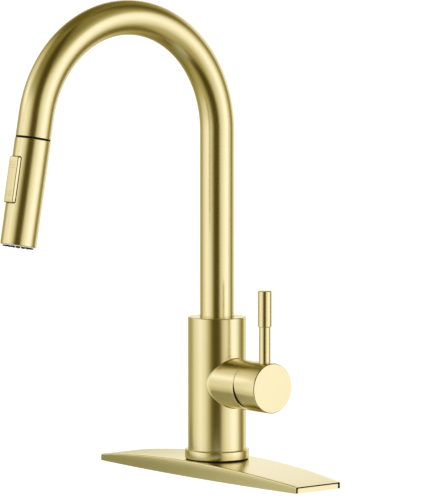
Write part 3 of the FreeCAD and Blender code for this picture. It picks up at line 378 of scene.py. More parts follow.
def make_materials():
    LOOKS["satin_gold"] = brushed_metal("satin_gold", GOLD, GOLD_PALE, 0.222, 0.236, (1, 1, 0.04))
    LOOKS["brass_raw"] = brushed_metal("machined_brass", (0.75, 0.55, 0.22), (0.80, 0.62, 0.30),
                                       0.22, 0.42, (0.2, 0.2, 3.0))
    LOOKS["steel"] = brushed_metal("steel", (0.58, 0.58, 0.58), (0.66, 0.66, 0.66), 0.22, 0.40,
                                   (0.2, 0.2, 3.0))
    LOOKS["magnet_steel"] = brushed_metal("magnet_nickel", (0.42, 0.42, 0.44), (0.5, 0.5, 0.52),
                                          0.18, 0.30, (1, 1, 1))
    LOOKS["black_plastic"] = plastic("black_plastic", (0.006, 0.006, 0.006), 0.45, sheen=0.12)
    LOOKS["grey_plastic"] = plastic("grey_plastic", (0.20, 0.20, 0.195), 0.48)
    LOOKS["white_plastic"] = plastic("white_plastic", (0.72, 0.71, 0.68), 0.40)
    LOOKS["blue_plastic"] = plastic("blue_plastic", (0.03, 0.11, 0.33), 0.38)
    LOOKS["black_rubber"] = plastic("black_rubber", (0.010, 0.010, 0.010), 0.72, 0.10, 0.10)
    LOOKS["white_ceramic"] = plastic("white_ceramic", (0.82, 0.80, 0.76), 0.16)
    LOOKS["hose_braid"] = plastic("hose_braid", (0.08, 0.08, 0.085), 0.55)


def dress_nodes():
    """Give every CAD node the look of its material slot."""
    for row in frame["record"]["subparts"]:
        node = NODES[row["node"]]
        node.data.materials.clear()
        node.data.materials.append(LOOKS[row["material_slot"]])


# ---------------------------------------------------------------- mesh helpers

FULL_TURN = 2 * math.pi
SHARP = math.radians(34)


def piece(name, bm, body, slot, *replaced):
    """Finish a mesh as a piece: it rides on a body and takes the look of a material slot."""
    bmesh.ops.remove_doubles(bm, verts=bm.verts, dist=1e-6)
    bmesh.ops.dissolve_degenerate(bm, edges=bm.edges, dist=1e-7)
    bmesh.ops.recalc_face_normals(bm, faces=bm.faces)
    mesh = bpy.data.meshes.new(name)
    bm.to_mesh(mesh)
    bm.free()
    mesh.shade_smooth()
    mesh.set_sharp_from_angle(angle=SHARP)
    mesh.materials.append(LOOKS[slot])
    thing = bpy.data.objects.new(name, mesh)
    bpy.context.scene.collection.objects.link(thing)
    if body:
        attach(thing, body)
    if replaced:
        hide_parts(*replaced)
    return thing


def skin(bm, rows, joined=False, caps=True):
    """Faces between rows of points that each close on themselves."""
    grid = [[bm.verts.new(point) for point in row] for row in rows]
    pairs = list(zip(grid, grid[1:]))
    if joined:
        pairs.append((grid[-1], grid[0]))
    for low, high in pairs:
        count = len(low)
        for index in range(count):
            following = (index + 1) % count
            bm.faces.new((low[index], low[following], high[following], high[index]))
    if caps and not joined:
        bm.faces.new(grid[0][::-1])
        bm.faces.new(grid[-1])


def tidied(cutter):
    """A cutter with its doubled points joined and its faces turned outwards."""
    bmesh.ops.remove_doubles(cutter, verts=cutter.verts, dist=1e-6)
    bmesh.ops.recalc_face_normals(cutter, faces=cutter.faces)
    return cutter


def carve(thing, cutter):
    """Cut a mesh out of a piece."""
    mesh = bpy.data.meshes.new("cutter")
    cutter.to_mesh(mesh)
    cutter.free()
    tool = bpy.data.objects.new("cutter", mesh)
    bpy.context.scene.collection.objects.link(tool)
    modifier = thing.modifiers.new("cut", "BOOLEAN")
    modifier.operation = "DIFFERENCE"
    modifier.solver = "MANIFOLD"
    modifier.object = tool
    bpy.context.view_layer.update()
    graph = bpy.context.evaluated_depsgraph_get()
    shaped = bpy.data.meshes.new_from_object(thing.evaluated_get(graph), depsgraph=graph)
    thing.modifiers.clear()
    thing.data = shaped
    bpy.data.objects.remove(tool)
    shaped.set_sharp_from_angle(angle=SHARP)


def on_upright(x, y, z):
    return Vector((x, y, z))


def on_handle(x, y, z):
    """Local z runs along the handle's axis, and local x points down."""
    return Vector((z, y, HANDLE_AXIS_LEVEL - x))


def on_head(x, y, z):
    """Local z runs up the head's axis from the dock line, and local -y is the pad's side."""
    return in_head(x, -y, -z)


def circle_row(radius, level, place, count, centre=(0.0, 0.0)):
    row = []
    for index in range(count):
        angle = FULL_TURN * index / count
        reach = radius(angle, level) if callable(radius) else radius
        row.append(place(centre[0] + reach * math.cos(angle),
                         centre[1] + reach * math.sin(angle), level))
    return row


def eased(profile, radius, steps=3):
    """The same closed profile of (radius, level) corners with its corners rounded."""
    out = []
    count = len(profile)
    for index, corner in enumerate(profile):
        here = Vector(corner)
        before = Vector(profile[index - 1]) - here
        after = Vector(profile[(index + 1) % count]) - here
        reach = min(radius, before.length * 0.45, after.length * 0.45)
        if corner[0] < 1e-9 or before.angle(after, math.pi) > 2.9:
            out.append(tuple(here))
            continue
        first = here + before.normalized() * reach
        last = here + after.normalized() * reach
        for step in range(steps + 1):
            share = step / steps
            curve = (first * (1 - share) ** 2 + here * 2 * share * (1 - share)
                     + last * share ** 2)
            out.append(tuple(curve))
    return out


def lathe(bm, profile, place=on_upright, count=72, centre=(0.0, 0.0), ease=0.0):
    """Turn a closed profile of (radius, level) corners about the local axis."""
    if ease:
        profile = eased(profile, ease)
    rows = [circle_row(radius, level, place, count, centre) for radius, level in profile]
    skin(bm, rows, joined=True)


def thread_height(pitch, low, high, depth):
    """How far a thread stands in from its crest: a function of the angle and the level."""
    def inset(angle, level):
        turn = (level / pitch + angle / FULL_TURN) % 1.0
        ridge = min(1.0, max(0.0, abs(turn - 0.5) * 2.6 - 0.15))
        fade = min(1.0, (level - low) / pitch, (high - level) / pitch)
        return depth * (ridge * max(0.0, fade) + (1 - max(0.0, fade)) * 0.5)
    return inset


def threaded_rows(crest, pitch, low, high, depth, place, count, centre=(0.0, 0.0), per_turn=8):
    inset = thread_height(pitch, low, high, depth)
    steps = int(round((high - low) / pitch * per_turn))
    rows = []
    for step in range(steps + 1):
        level = low + (high - low) * step / steps
        rows.append(circle_row(lambda angle, z: crest - inset(angle, z), level, place, count, centre))
    return rows


# ---------------------------------------------------------------- deck plate

PLATE_END_HALF = 24.15 * MM
PLATE_END_HEIGHT = 5.4 * MM
PLATE_FOLD = 0.95 * MM
PLATE_SHEET = 0.9 * MM
PLATE_LIP = 0.3 * MM                # the sheet's edge at its two ends
END_WALL = 0.35 * MM
END_GAP = 2.2 * MM
END_GAP_TOP = 1.25 * MM
END_CORNER = 0.6 * MM
END_BEVEL = (0.25 * MM, 0.22 * MM)  # its depth along the plate, and its width
LIP_REACH = 2.5 * MM                # the thin edge runs this far in, then thickens
LIP_BLEND = 3.5 * MM
SHEET_START = 5.0 * MM
PLATE_STEPS = 72
FOLD_STEPS = 6
TOP_STEPS = 14
PLATE_HOLE = 18.0 * MM
PLATE_BORE = (5.0 * MM, 20.0 * MM)  # levels of the cutter, clear of the sheet
SEAT = (26.5 * MM, 12.9 * MM)       # radius and level of the foot ring's seat
GASKET_INSET = 1.5 * MM
GASKET_STEPS = 32
# Painted shade: the black strip behind each end wall, its depth back from the end and its play from the
# sheet.
SHADE_LIP_BACK = 1.45 * MM
SHADE_LIP_PLAY = 0.05 * MM


def plate_half_width(x, reach, middle):
    return middle - (middle - PLATE_END_HALF) * (x / reach) ** 2


def plate_height(x, reach, middle):
    return middle - (middle - PLATE_END_HEIGHT) * (x / reach) ** 2


def plate_section(x, reach, half, height, inset):
    """One row across the plate: up a long side, over its fold, across the top, and down."""
    wide = plate_half_width(x, reach, half) - inset
    tall = plate_height(x, reach, height) - inset
    fold = PLATE_FOLD - inset
    row = [(-wide, (tall - fold) * share) for share in (0.0, 0.5, 1.0)]
    for step in range(1, FOLD_STEPS + 1):
        angle = math.pi / 2 * step / FOLD_STEPS
        row.append((-wide + fold - fold * math.cos(angle), tall - fold + fold * math.sin(angle)))
    side = row[::-1]
    for step in range(1, TOP_STEPS):
        row.append(((-wide + fold) + (wide - fold) * 2 * step / TOP_STEPS, tall))
    return row + [(-y, z) for y, z in side]


def plate_skin(bm, stations, sizes):
    """A folded sheet along X. Each station is a place and the sheet's thickness there."""
    rows = []
    for x, sheet in stations:
        outer = plate_section(x, *sizes, 0.0)
        inner = plate_section(x, *sizes, sheet)[::-1]
        rows.append([Vector((x, y, z)) for y, z in outer + inner])
    skin(bm, rows)


def end_profile(sizes, side_gap, top_gap):
    """The plate's end outline, that far in at its sides and its top, with small top corners."""
    reach = sizes[0]
    wide = plate_half_width(reach, reach, sizes[1]) - side_gap
    tall = plate_height(reach, reach, sizes[2]) - top_gap
    right = [(wide, 0.0), (wide, tall - END_CORNER)]
    for step in range(1, FOLD_STEPS + 1):
        angle = math.pi / 2 * step / FOLD_STEPS
        right.append((wide - END_CORNER + END_CORNER * math.cos(angle),
                      tall - END_CORNER + END_CORNER * math.sin(angle)))
    return right + [(-y, z) for y, z in right[::-1]]


def bored(thing, holes):
    """Cut upright round holes, each a radius with its lower and upper level."""
    for radius, low, high in holes:
        cutter = bmesh.new()
        lathe(cutter, [(0.0, low), (radius, low), (radius, high), (0.0, high)], on_upright, 120)
        carve(thing, tidied(cutter))


def plate_sizes():
    """The plate's half length, and its half width and height at its middle."""
    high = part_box("deck_plate")[1]
    return high.x, high.y, high.z


def make_plate():
    """The cover: a folded sheet, open at its ends, with an end wall standing in a gap; the gap's darkness is
    painted shade from a black strip behind it.
    """
    sizes = plate_sizes()
    reach = sizes[0]
    near = [(reach, PLATE_LIP), (reach - LIP_REACH, PLATE_LIP), (reach - LIP_BLEND, PLATE_SHEET)]
    span = reach - SHEET_START
    middle = [(-span + 2 * span * step / PLATE_STEPS, PLATE_SHEET) for step in range(PLATE_STEPS + 1)]
    stations = [(-x, sheet) for x, sheet in near] + middle + near[::-1]
    bm = bmesh.new()
    plate_skin(bm, stations, sizes)
    cover = piece("plate_cover", bm, "faucet_body", "satin_gold", "deck_plate")
    bored(cover, ((PLATE_HOLE, *PLATE_BORE), (*SEAT, PLATE_BORE[1])))
    for side, name in ((-1, "plate_end_left"), (1, "plate_end_right")):
        bm = bmesh.new()
        rows = []
        for x, less in ((reach - END_WALL, 0.0), (reach - END_BEVEL[0], 0.0), (reach, END_BEVEL[1])):
            outline = end_profile(sizes, END_GAP + less, END_GAP_TOP + less)
            rows.append([Vector((side * x, side * y, z)) for y, z in outline])
        skin(bm, rows)
        piece(name, bm, "faucet_body", "satin_gold")


def make_plate_gasket():
    """The rubber under the plate, and a black strip of painted shade behind each end wall that darkens the
    gap round it.
    """
    sizes = plate_sizes()
    gasket_low, gasket_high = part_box("deck_gasket")
    reach = gasket_high.x
    outline = []
    for side in (-1, 1):
        for step in range(GASKET_STEPS + 1):
            x = side * (-reach + 2 * reach * step / GASKET_STEPS)
            outline.append((x, side * (plate_half_width(x, sizes[0], sizes[1]) - GASKET_INSET)))
    bm = bmesh.new()
    skin(bm, [[Vector((x, y, z)) for x, y in outline] for z in (gasket_low.z, gasket_high.z)])
    gasket = piece("plate_gasket", bm, "faucet_body", "black_rubber", "deck_gasket")
    bored(gasket, ((PLATE_HOLE, gasket_low.z - MM, gasket_high.z + MM),))
    # Painted shade: a black strip stands behind each end wall so that its gap reads as dark shade.
    for side, name in ((-1, "plate_shade_lip_left"), (1, "plate_shade_lip_right")):
        bm = bmesh.new()
        outline = end_profile(sizes, PLATE_LIP + SHADE_LIP_PLAY, PLATE_LIP + SHADE_LIP_PLAY)
        skin(bm, [[Vector((side * x, side * y, z)) for y, z in outline]
                  for x in (sizes[0] - SHADE_LIP_BACK, sizes[0] - END_WALL)])
        piece(name, bm, "faucet_body", "black_rubber")


RING_LIFT = 0.65 * MM               # the dark gap under the ring
RING_PLAY = 0.03 * MM
RING_FOOT_EDGE = 0.5 * MM
RING_TOP_EDGE = 0.75 * MM
RING_MOUTH = (0.45 * MM, 0.5 * MM)  # width and depth of the bevel beside the body
RING_EASE = 0.16 * MM
GASKET_PLAY = 0.01 * MM
GASKET_BORE_PLAY = 0.05 * MM


def make_base_ring():
    """The ring round the body's foot: fine bevels, over a black gasket in a narrow gap."""
    low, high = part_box("base_ring")
    outer = high.x
    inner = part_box("body_shell")[1].y
    foot = low.z + RING_LIFT
    bm = bmesh.new()
    lathe(bm, [(inner + RING_PLAY, foot), (outer - RING_FOOT_EDGE, foot), (outer, foot + RING_FOOT_EDGE),
               (outer, high.z - RING_TOP_EDGE), (outer - RING_TOP_EDGE, high.z),
               (inner + RING_MOUTH[0], high.z), (inner + RING_PLAY, high.z - RING_MOUTH[1])],
          on_upright, 160, ease=RING_EASE)
    piece("foot_ring", bm, "faucet_body", "satin_gold", "base_ring")
    gasket_low, gasket_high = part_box("base_gasket")
    inner += GASKET_BORE_PLAY
    ledge = foot - GASKET_PLAY
    top = gasket_high.z - GASKET_PLAY
    bm = bmesh.new()
    lathe(bm, [(PLATE_HOLE, gasket_low.z), (gasket_high.x, gasket_low.z), (gasket_high.x, ledge),
               (inner, ledge), (inner, top), (PLATE_HOLE, top)], on_upright, 120)
    piece("foot_gasket", bm, "faucet_body", "black_rubber", "base_gasket")


# ---------------------------------------------------------------- side boss

# The boss's foot, from the body outwards: how far it flares and stands away, in millimetres.
BOSS_FOOT = ((0.55, 0.04), (0.50, 0.10), (0.24, 0.22), (0.08, 0.46), (0.0, 0.85))
BOSS_EDGE = (0.0004, 0.00012)       # where the far end's rounding starts, and its middle
BOSS_DROP = (0.00005, 0.0003)       # how much smaller the ring is at that middle and at the end
BONNET_PLAY = 0.0001
BOSS_SIDES = 144
BOSS_STEPS = 10


def make_boss():
    """The boss: its near end is coped to the body with a fine bevel, its far end is rounded."""
    low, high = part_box("side_boss")
    radius = (high.y - low.y) / 2
    end = high.x
    body_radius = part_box("body_shell")[1].y
    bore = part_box("bonnet_nut")[1].y + BONNET_PLAY
    rows = []
    for flare, away in BOSS_FOOT:
        rows.append(coped_row(radius + flare * MM, body_radius, BOSS_SIDES, away * MM))
    start = rows[-1]
    for step in range(1, BOSS_STEPS + 1):
        rows.append([Vector((point.x + (end - BOSS_EDGE[0] - point.x) * step / BOSS_STEPS,
                             point.y, point.z)) for point in start])
    for x, reach in ((end - BOSS_EDGE[1], radius - BOSS_DROP[0]), (end, radius - BOSS_DROP[1]),
                     (end, bore)):
        rows.append([on_handle(point.x, point.y, x) for point in flat_ring(reach, BOSS_SIDES)])
    rows.append(coped_row(bore, body_radius, BOSS_SIDES, BOSS_FOOT[0][1] * MM))
    bm = bmesh.new()
    skin(bm, rows, joined=True)
    piece("boss", bm, "faucet_body", "satin_gold", "side_boss")


def flat_ring(radius, count):
    return [Vector((radius * math.cos(FULL_TURN * index / count),
                    radius * math.sin(FULL_TURN * index / count), 0)) for index in range(count)]


def coped_row(radius, stem, count, away):
    """Where a horizontal tube of one radius meets an upright tube of another, and a little away."""
    row = []
    for point in flat_ring(radius, count):
        x = math.sqrt(max(0.0, stem ** 2 - point.y ** 2))
        row.append(on_handle(point.x, point.y, x + away))
    return row


# ---------------------------------------------------------------- handle hub

HUB_SLOPE = math.radians(14.85)
SLOPE_START = 4.5 * MM
HUB_FLOOR = 58.0 * MM
HUB_WALL = 0.7 * MM
HUB_BACK = 45.7 * MM
DRIVE_HALF = 3.4 * MM
DRIVE_END = 66.0 * MM
STUD = (3.0 * MM, 92.0 * MM)        # radius and foot of the lever's stud
STUD_HOLE_LENGTH = 20.0 * MM
SET_SCREW = 2.0 * MM
LEVER_REACH = 62.0 * MM
HUB_SIDES = 144
HUB_CENTRE = 3.0 * MM               # innermost ring of the floor, within the drive's hole
HUB_RIM = (0.12 * MM, 0.22 * MM)    # bevels of the back rim, inside and outside
# The face's edge from the side inwards: how far in, and how far behind the face.
HUB_FACE_EDGE = ((0.0, 0.62 * MM), (0.02 * MM, 0.55 * MM), (0.50 * MM, 0.07 * MM),
                 (0.58 * MM, 0.0), (5.0 * MM, 0.0))


def hub_row(radius, x, count, from_back=False):
    """A ring of the hub at a reach, or at a distance from its back, which slopes below the axis."""
    row = []
    for point in flat_ring(radius, count):
        back = HUB_BACK + max(0.0, SLOPE_START + point.x) * math.tan(HUB_SLOPE)
        row.append(on_handle(point.x, point.y, back + x if from_back else x))
    return row


def make_hub():
    """The drum of the handle: bevelled face and back, thin rim behind, holes for drive and stud."""
    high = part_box("handle_hub")[1]
    radius = high.y
    face = high.x
    inner = radius - HUB_WALL
    rows = [hub_row(HUB_CENTRE, HUB_FLOOR, HUB_SIDES), hub_row(inner, HUB_FLOOR, HUB_SIDES)]
    for reach, ahead in ((inner, HUB_RIM[0]), (inner + HUB_RIM[0], 0.0), (radius - HUB_RIM[1], 0.0),
                         (radius, HUB_RIM[1])):
        rows.append(hub_row(reach, ahead, HUB_SIDES, True))
    for inset, behind in HUB_FACE_EDGE:
        rows.append(hub_row(radius - inset, face - behind, HUB_SIDES))
    bm = bmesh.new()
    skin(bm, rows)
    hub = piece("hub_drum", bm, "handle", "satin_gold", "handle_hub")
    cutter = bmesh.new()
    for corner in bmesh.ops.create_cube(cutter, size=2.0)["verts"]:
        corner.co = on_handle(corner.co.x * DRIVE_HALF, corner.co.y * DRIVE_HALF,
                              DRIVE_END if corner.co.z > 0 else HUB_FLOOR - MM)
    carve(hub, cutter)
    for hole, low_end, high_end in ((*STUD, STUD[1] + STUD_HOLE_LENGTH),
                                    (SET_SCREW, HANDLE_AXIS_LEVEL - radius - MM,
                                     HANDLE_AXIS_LEVEL - DRIVE_HALF + 0.1 * MM)):
        cutter = bmesh.new()
        lathe(cutter, [(0.0, low_end), (hole, low_end), (hole, high_end), (0.0, high_end)],
              on_upright, 40, (LEVER_REACH, 0.0))
        carve(hub, tidied(cutter))


# ---------------------------------------------------------------- rocker pad

PAD_HALF = 5.9 * MM
PAD_TOP = 15.7 * MM
PAD_FOOT = 53.2 * MM
PAD_CORNER = 1.4 * MM
PAD_BACK = 9.3 * MM
PAD_FRONT = 16.6 * MM
PAD_NECK = 13.35 * MM
PIN_DEPTH = 9.8 * MM
PIN_HOLE = 1.06 * MM
PIN_SIDES = 32
PAD_EDGE = 1.15 * MM                # rounding of its front edge
PAD_NECK_INSET = 0.45 * MM
PAD_SHOULDER = 0.35 * MM
PAD_CROWN = 0.12 * MM
# The face inwards from its edge: how far in, and how far under its middle.
PAD_FACE = ((2.2 * MM, 0.05 * MM), (3.4 * MM, 0.01 * MM), (4.6 * MM, 0.0))
ARC_STEPS = 6
DOTS_DOWN = (20.4, 22.6, 24.8)      # the marks, in millimetres
DOTS_ACROSS = (-2.6, -0.9, 0.9, 2.6)
DOT_RADIUS = 0.42 * MM
BARS_ACROSS = (-2.4, 0.0, 2.4)
BAR_ENDS = (43.6 * MM, 48.4 * MM)
BAR_RADIUS = 0.36 * MM
MARK_SINK = 0.06 * MM
# Their domes: a share of the radius, and the rise there.
DOT_DOME = ((1.0, -0.3 * MM), (1.0, 0.02 * MM), (0.86, 0.12 * MM), (0.5, 0.19 * MM))
BAR_DOME = ((1.0, -0.3 * MM), (1.0, 0.02 * MM), (0.8, 0.12 * MM), (0.4, 0.18 * MM))


def pad_row(inset, front):
    """A rounded rectangle on the pad's place, that far in from its edge."""
    row = []
    middle = (PAD_TOP + PAD_FOOT) / 2
    half = PAD_HALF - inset
    long = (PAD_FOOT - PAD_TOP) / 2 - inset
    corner = max(PAD_CORNER - inset, 0.2 * MM)
    for quarter, (sx, sy) in enumerate(((1, 1), (-1, 1), (-1, -1), (1, -1))):
        for step in range(ARC_STEPS + 1):
            angle = math.pi / 2 * (quarter + step / ARC_STEPS)
            row.append(in_head(sx * (half - corner) + corner * math.cos(angle), front,
                               middle + sy * (long - corner) + corner * math.sin(angle)))
    return row


def make_pad():
    """The pad: rounded front edges, a slightly crowned face and raised generic spray marks."""
    rows = [pad_row(PAD_NECK_INSET, PAD_BACK), pad_row(PAD_NECK_INSET, PAD_NECK),
            pad_row(0.0, PAD_NECK + PAD_SHOULDER), pad_row(0.0, PAD_FRONT - PAD_EDGE)]
    for step in range(1, ARC_STEPS + 1):
        angle = math.pi / 2 * step / ARC_STEPS
        front = PAD_FRONT - PAD_EDGE + PAD_EDGE * math.sin(angle) - PAD_CROWN * step / ARC_STEPS
        rows.append(pad_row(PAD_EDGE * (1 - math.cos(angle)), front))
    for inset, sink in PAD_FACE:
        rows.append(pad_row(inset, PAD_FRONT - sink))
    bm = bmesh.new()
    skin(bm, rows)
    for down in DOTS_DOWN:
        for across in DOTS_ACROSS:
            button(bm, across * MM, down * MM, DOT_RADIUS)
    for across in BARS_ACROSS:
        bar(bm, across * MM, *BAR_ENDS, BAR_RADIUS)
    pad = piece("mode_pad", bm, "mode_button", "satin_gold", "rocker_button")
    cutter = bmesh.new()
    rows = []
    for across in (-PAD_HALF - MM, PAD_HALF + MM):
        rows.append([in_head(across, PIN_DEPTH + PIN_HOLE * math.sin(FULL_TURN * step / PIN_SIDES),
                             (PAD_TOP + PAD_FOOT) / 2 + PIN_HOLE * math.cos(FULL_TURN * step / PIN_SIDES))
                     for step in range(PIN_SIDES)])
    skin(cutter, rows)
    carve(pad, tidied(cutter))


def button(bm, across, down, radius):
    """A raised round mark."""
    rows = []
    for share, rise in DOT_DOME:
        rows.append([in_head(across + radius * share * math.cos(FULL_TURN * index / 12),
                             PAD_FRONT - MARK_SINK + rise,
                             down + radius * share * math.sin(FULL_TURN * index / 12))
                     for index in range(12)])
    skin(bm, rows)


def bar(bm, across, start, end, radius):
    """A raised long mark with round ends."""
    rows = []
    for share, rise in BAR_DOME:
        row = []
        for index in range(16):
            angle = FULL_TURN * index / 16
            middle = end if math.sin(angle) > 0 else start
            row.append(in_head(across + radius * share * math.cos(angle), PAD_FRONT - MARK_SINK + rise,
                               middle + radius * share * math.sin(angle)))
        rows.append(row)
    skin(bm, rows)


# ---------------------------------------------------------------- spray face

FACE_RADIUS = 13.3 * MM
FACE_LOW = -86.8 * MM
AERATOR = 6.2 * MM
PAD_THICK = 1.9 * MM
FACE_DEPTH = 3.4 * MM
NOZZLES = ((8.6 * MM, 12), (11.6 * MM, 18))
NOZZLE_HOLE = 1.0 * MM
GRID_RINGS = (1.1, 2.1, 3.1, 4.1)   # radii in millimetres
GRID_HALF = 0.14                    # half the rings' thickness, in millimetres
GRID_DEPTH = 1.2 * MM
GRID_SPOKES = 12
SPOKE_HALF = 0.13 * MM


def make_spray_end():
    """A pale face with two raised rings, rubber nozzles in cups, and an aerator with its grid."""
    bm = bmesh.new()
    back = FACE_LOW + FACE_DEPTH
    lathe(bm, [(AERATOR + 0.1 * MM, back), (AERATOR + 0.1 * MM, FACE_LOW + 0.1 * MM),
               (AERATOR + 0.9 * MM, FACE_LOW), (FACE_RADIUS - 0.6 * MM, FACE_LOW),
               (FACE_RADIUS, FACE_LOW + 0.5 * MM), (FACE_RADIUS, back)],
          on_head, 96, ease=0.25 * MM)
    face = piece("face_plate", bm, "spray_head", "white_plastic", "spray_face")
    spots = [(circle * math.cos(FULL_TURN * index / count), circle * math.sin(FULL_TURN * index / count))
             for circle, count in NOZZLES for index in range(count)]
    cutter = bmesh.new()
    for spot in spots:
        lathe(cutter, [(0.0, FACE_LOW - MM), (NOZZLE_HOLE, FACE_LOW - MM), (NOZZLE_HOLE, back + MM),
                       (0.0, back + MM)], on_head, 16, spot)
    carve(face, tidied(cutter))
    bm = bmesh.new()
    lathe(bm, [(AERATOR + 0.15 * MM, back + 0.02 * MM), (FACE_RADIUS - 0.4 * MM, back + 0.02 * MM),
               (FACE_RADIUS - 0.4 * MM, back + PAD_THICK), (AERATOR + 0.15 * MM, back + PAD_THICK)],
          on_head, 72)
    for spot in spots:
        lathe(bm, [(0.25 * MM, back + 0.1 * MM), (0.25 * MM, FACE_LOW - 0.95 * MM),
                   (0.70 * MM, FACE_LOW - 0.95 * MM), (0.84 * MM, FACE_LOW - 0.75 * MM),
                   (0.96 * MM, FACE_LOW - 0.1 * MM), (0.96 * MM, back + 0.1 * MM)],
              on_head, 16, spot)
    piece("nozzles", bm, "spray_head", "black_rubber", "nozzle_pad")
    bm = bmesh.new()
    rim = AERATOR - 1.2 * MM
    wide = AERATOR - 0.05 * MM
    lathe(bm, [(rim, FACE_LOW + 5 * MM), (rim, FACE_LOW + 0.2 * MM), (wide, FACE_LOW + 0.2 * MM),
               (wide, FACE_LOW + 5 * MM)], on_head, 64, ease=0.25 * MM)
    grid = FACE_LOW + 1.6 * MM
    for radius in GRID_RINGS:
        inside = (radius - GRID_HALF) * MM
        outside = (radius + GRID_HALF) * MM
        lathe(bm, [(inside, grid + GRID_DEPTH), (inside, grid), (outside, grid),
                   (outside, grid + GRID_DEPTH)], on_head, 48)
    for index in range(GRID_SPOKES):
        start = 0.0 if index % 2 == 0 else GRID_RINGS[0] * MM
        spoke(bm, FULL_TURN * index / GRID_SPOKES, start, rim, grid)
    lathe(bm, [(0.0, grid + 1.3 * MM), (rim + 0.2 * MM, grid + 1.3 * MM), (rim + 0.2 * MM, grid + 2.2 * MM),
               (0.0, grid + 2.2 * MM)], on_head, 48)
    piece("aerator_grid", bm, "spray_head", "black_plastic", "aerator")


def spoke(bm, angle, start, end, level):
    """A thin upright web of the aerator's grid."""
    along = Vector((math.cos(angle), math.sin(angle)))
    across = Vector((-along.y, along.x)) * SPOKE_HALF
    rows = []
    for reach in (start, end):
        spots = [along * reach + across, along * reach - across]
        rows.append([on_head(spots[0].x, spots[0].y, level + 0.1 * MM),
                     on_head(spots[1].x, spots[1].y, level + 0.1 * MM),
                     on_head(spots[1].x, spots[1].y, level + GRID_DEPTH),
                     on_head(spots[0].x, spots[0].y, level + GRID_DEPTH)])
    skin(bm, rows)


# ---------------------------------------------------------------- under the deck

DECK_THICK = 20.0 * MM
SHANK_BORE = 14.6 * MM
JACK_CIRCLE = 22.0 * MM
JACK_HOLE = 2.56 * MM
THREAD_CREST = 15.77 * MM
THREAD_PITCH = 2.0 * MM
THREAD_DEPTH = 0.8 * MM
SHANK_NECK = (16.2 * MM, 0.5 * MM)  # radius and foot of the neck inside the body
NUT_FLANGE = 26.5 * MM
NUT_CORNER = 24.0 * MM
NUT_HEIGHT = 12.0 * MM
FLANGE_THICK = 3.0 * MM
NUT_CHAMFER = 1.9 * MM
CHAMFER_SLOPE = 1.7
SCREW_HEAD = 4.5 * MM
SCREW_RADIUS = 2.5 * MM
SCREW_PITCH = 1.0 * MM
SCREW_SLOT = (10.0, 1.2, 2.6)       # length, width and depth of the cutter, in millimetres


def make_shank():
    """The shank, threaded below the deck."""
    low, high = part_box("mounting_shank")
    rows = [circle_row(SHANK_BORE, low.z, on_upright, 96),
            circle_row(THREAD_CREST - 1.0 * MM, low.z, on_upright, 96)]
    rows += threaded_rows(THREAD_CREST, THREAD_PITCH, low.z + 0.8 * MM, -DECK_THICK - 0.2 * MM,
                          THREAD_DEPTH, on_upright, 96)
    shoulder = high.x
    for radius, level in ((THREAD_CREST, -DECK_THICK), (shoulder - 0.3 * MM, -DECK_THICK),
                          (shoulder, -DECK_THICK + 0.3 * MM), (shoulder, SHANK_NECK[1]),
                          SHANK_NECK, (SHANK_NECK[0], high.z), (SHANK_BORE, high.z)):
        rows.append(circle_row(radius, level, on_upright, 96))
    bm = bmesh.new()
    skin(bm, rows, joined=True)
    piece("threaded_shank", bm, "faucet_body", "brass_raw", "mounting_shank")


def make_nut():
    """The brass nut: a rounded flange on top, a chamfered hexagon below, and a threaded bore."""
    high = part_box("mounting_nut")[1]
    bore = THREAD_CREST + 0.08 * MM
    foot = high.z - NUT_HEIGHT
    ledge = high.z - FLANGE_THICK

    def hexagon(angle, level):
        """The nut's reach at an angle: a flat, cut back by the chamfer and at its corners."""
        flat = NUT_CORNER * math.cos(math.pi / 6)
        turned = (angle % (math.pi / 3)) - math.pi / 6
        slope = flat + (level - foot) * CHAMFER_SLOPE + 0.2 * MM
        return min(flat / math.cos(turned), slope, NUT_CORNER - 0.15 * MM)

    rows = [circle_row(bore + 0.5 * MM, foot, on_upright, 120), circle_row(21.0 * MM, foot, on_upright, 120)]
    for step in range(9):
        rows.append(circle_row(hexagon, foot + NUT_CHAMFER * step / 8, on_upright, 120))
    rows.append(circle_row(hexagon, ledge - 0.01 * MM, on_upright, 120))
    for inset, level in ((0.5 * MM, ledge), (0.15 * MM, ledge + 0.15 * MM), (0.0, ledge + 0.5 * MM),
                         (0.0, high.z - 0.5 * MM), (0.15 * MM, high.z - 0.15 * MM),
                         (0.5 * MM, high.z)):
        rows.append(circle_row(NUT_FLANGE - inset, level, on_upright, 120))
    rows.append(circle_row(bore + 0.5 * MM, high.z, on_upright, 120))
    rows += threaded_rows(bore + 0.7 * MM, THREAD_PITCH, foot + 0.4 * MM, high.z - 0.4 * MM, 0.7 * MM,
                          on_upright, 120)[::-1]
    bm = bmesh.new()
    skin(bm, rows, joined=True)
    nut = piece("hex_nut", bm, "mounting_hardware", "brass_raw", "mounting_nut")
    for side in (-1, 1):
        cutter = bmesh.new()
        lathe(cutter, [(0.0, foot - MM), (JACK_HOLE, foot - MM), (JACK_HOLE, high.z + MM),
                       (0.0, high.z + MM)], on_upright, 40, (side * JACK_CIRCLE, 0.0))
        carve(nut, tidied(cutter))


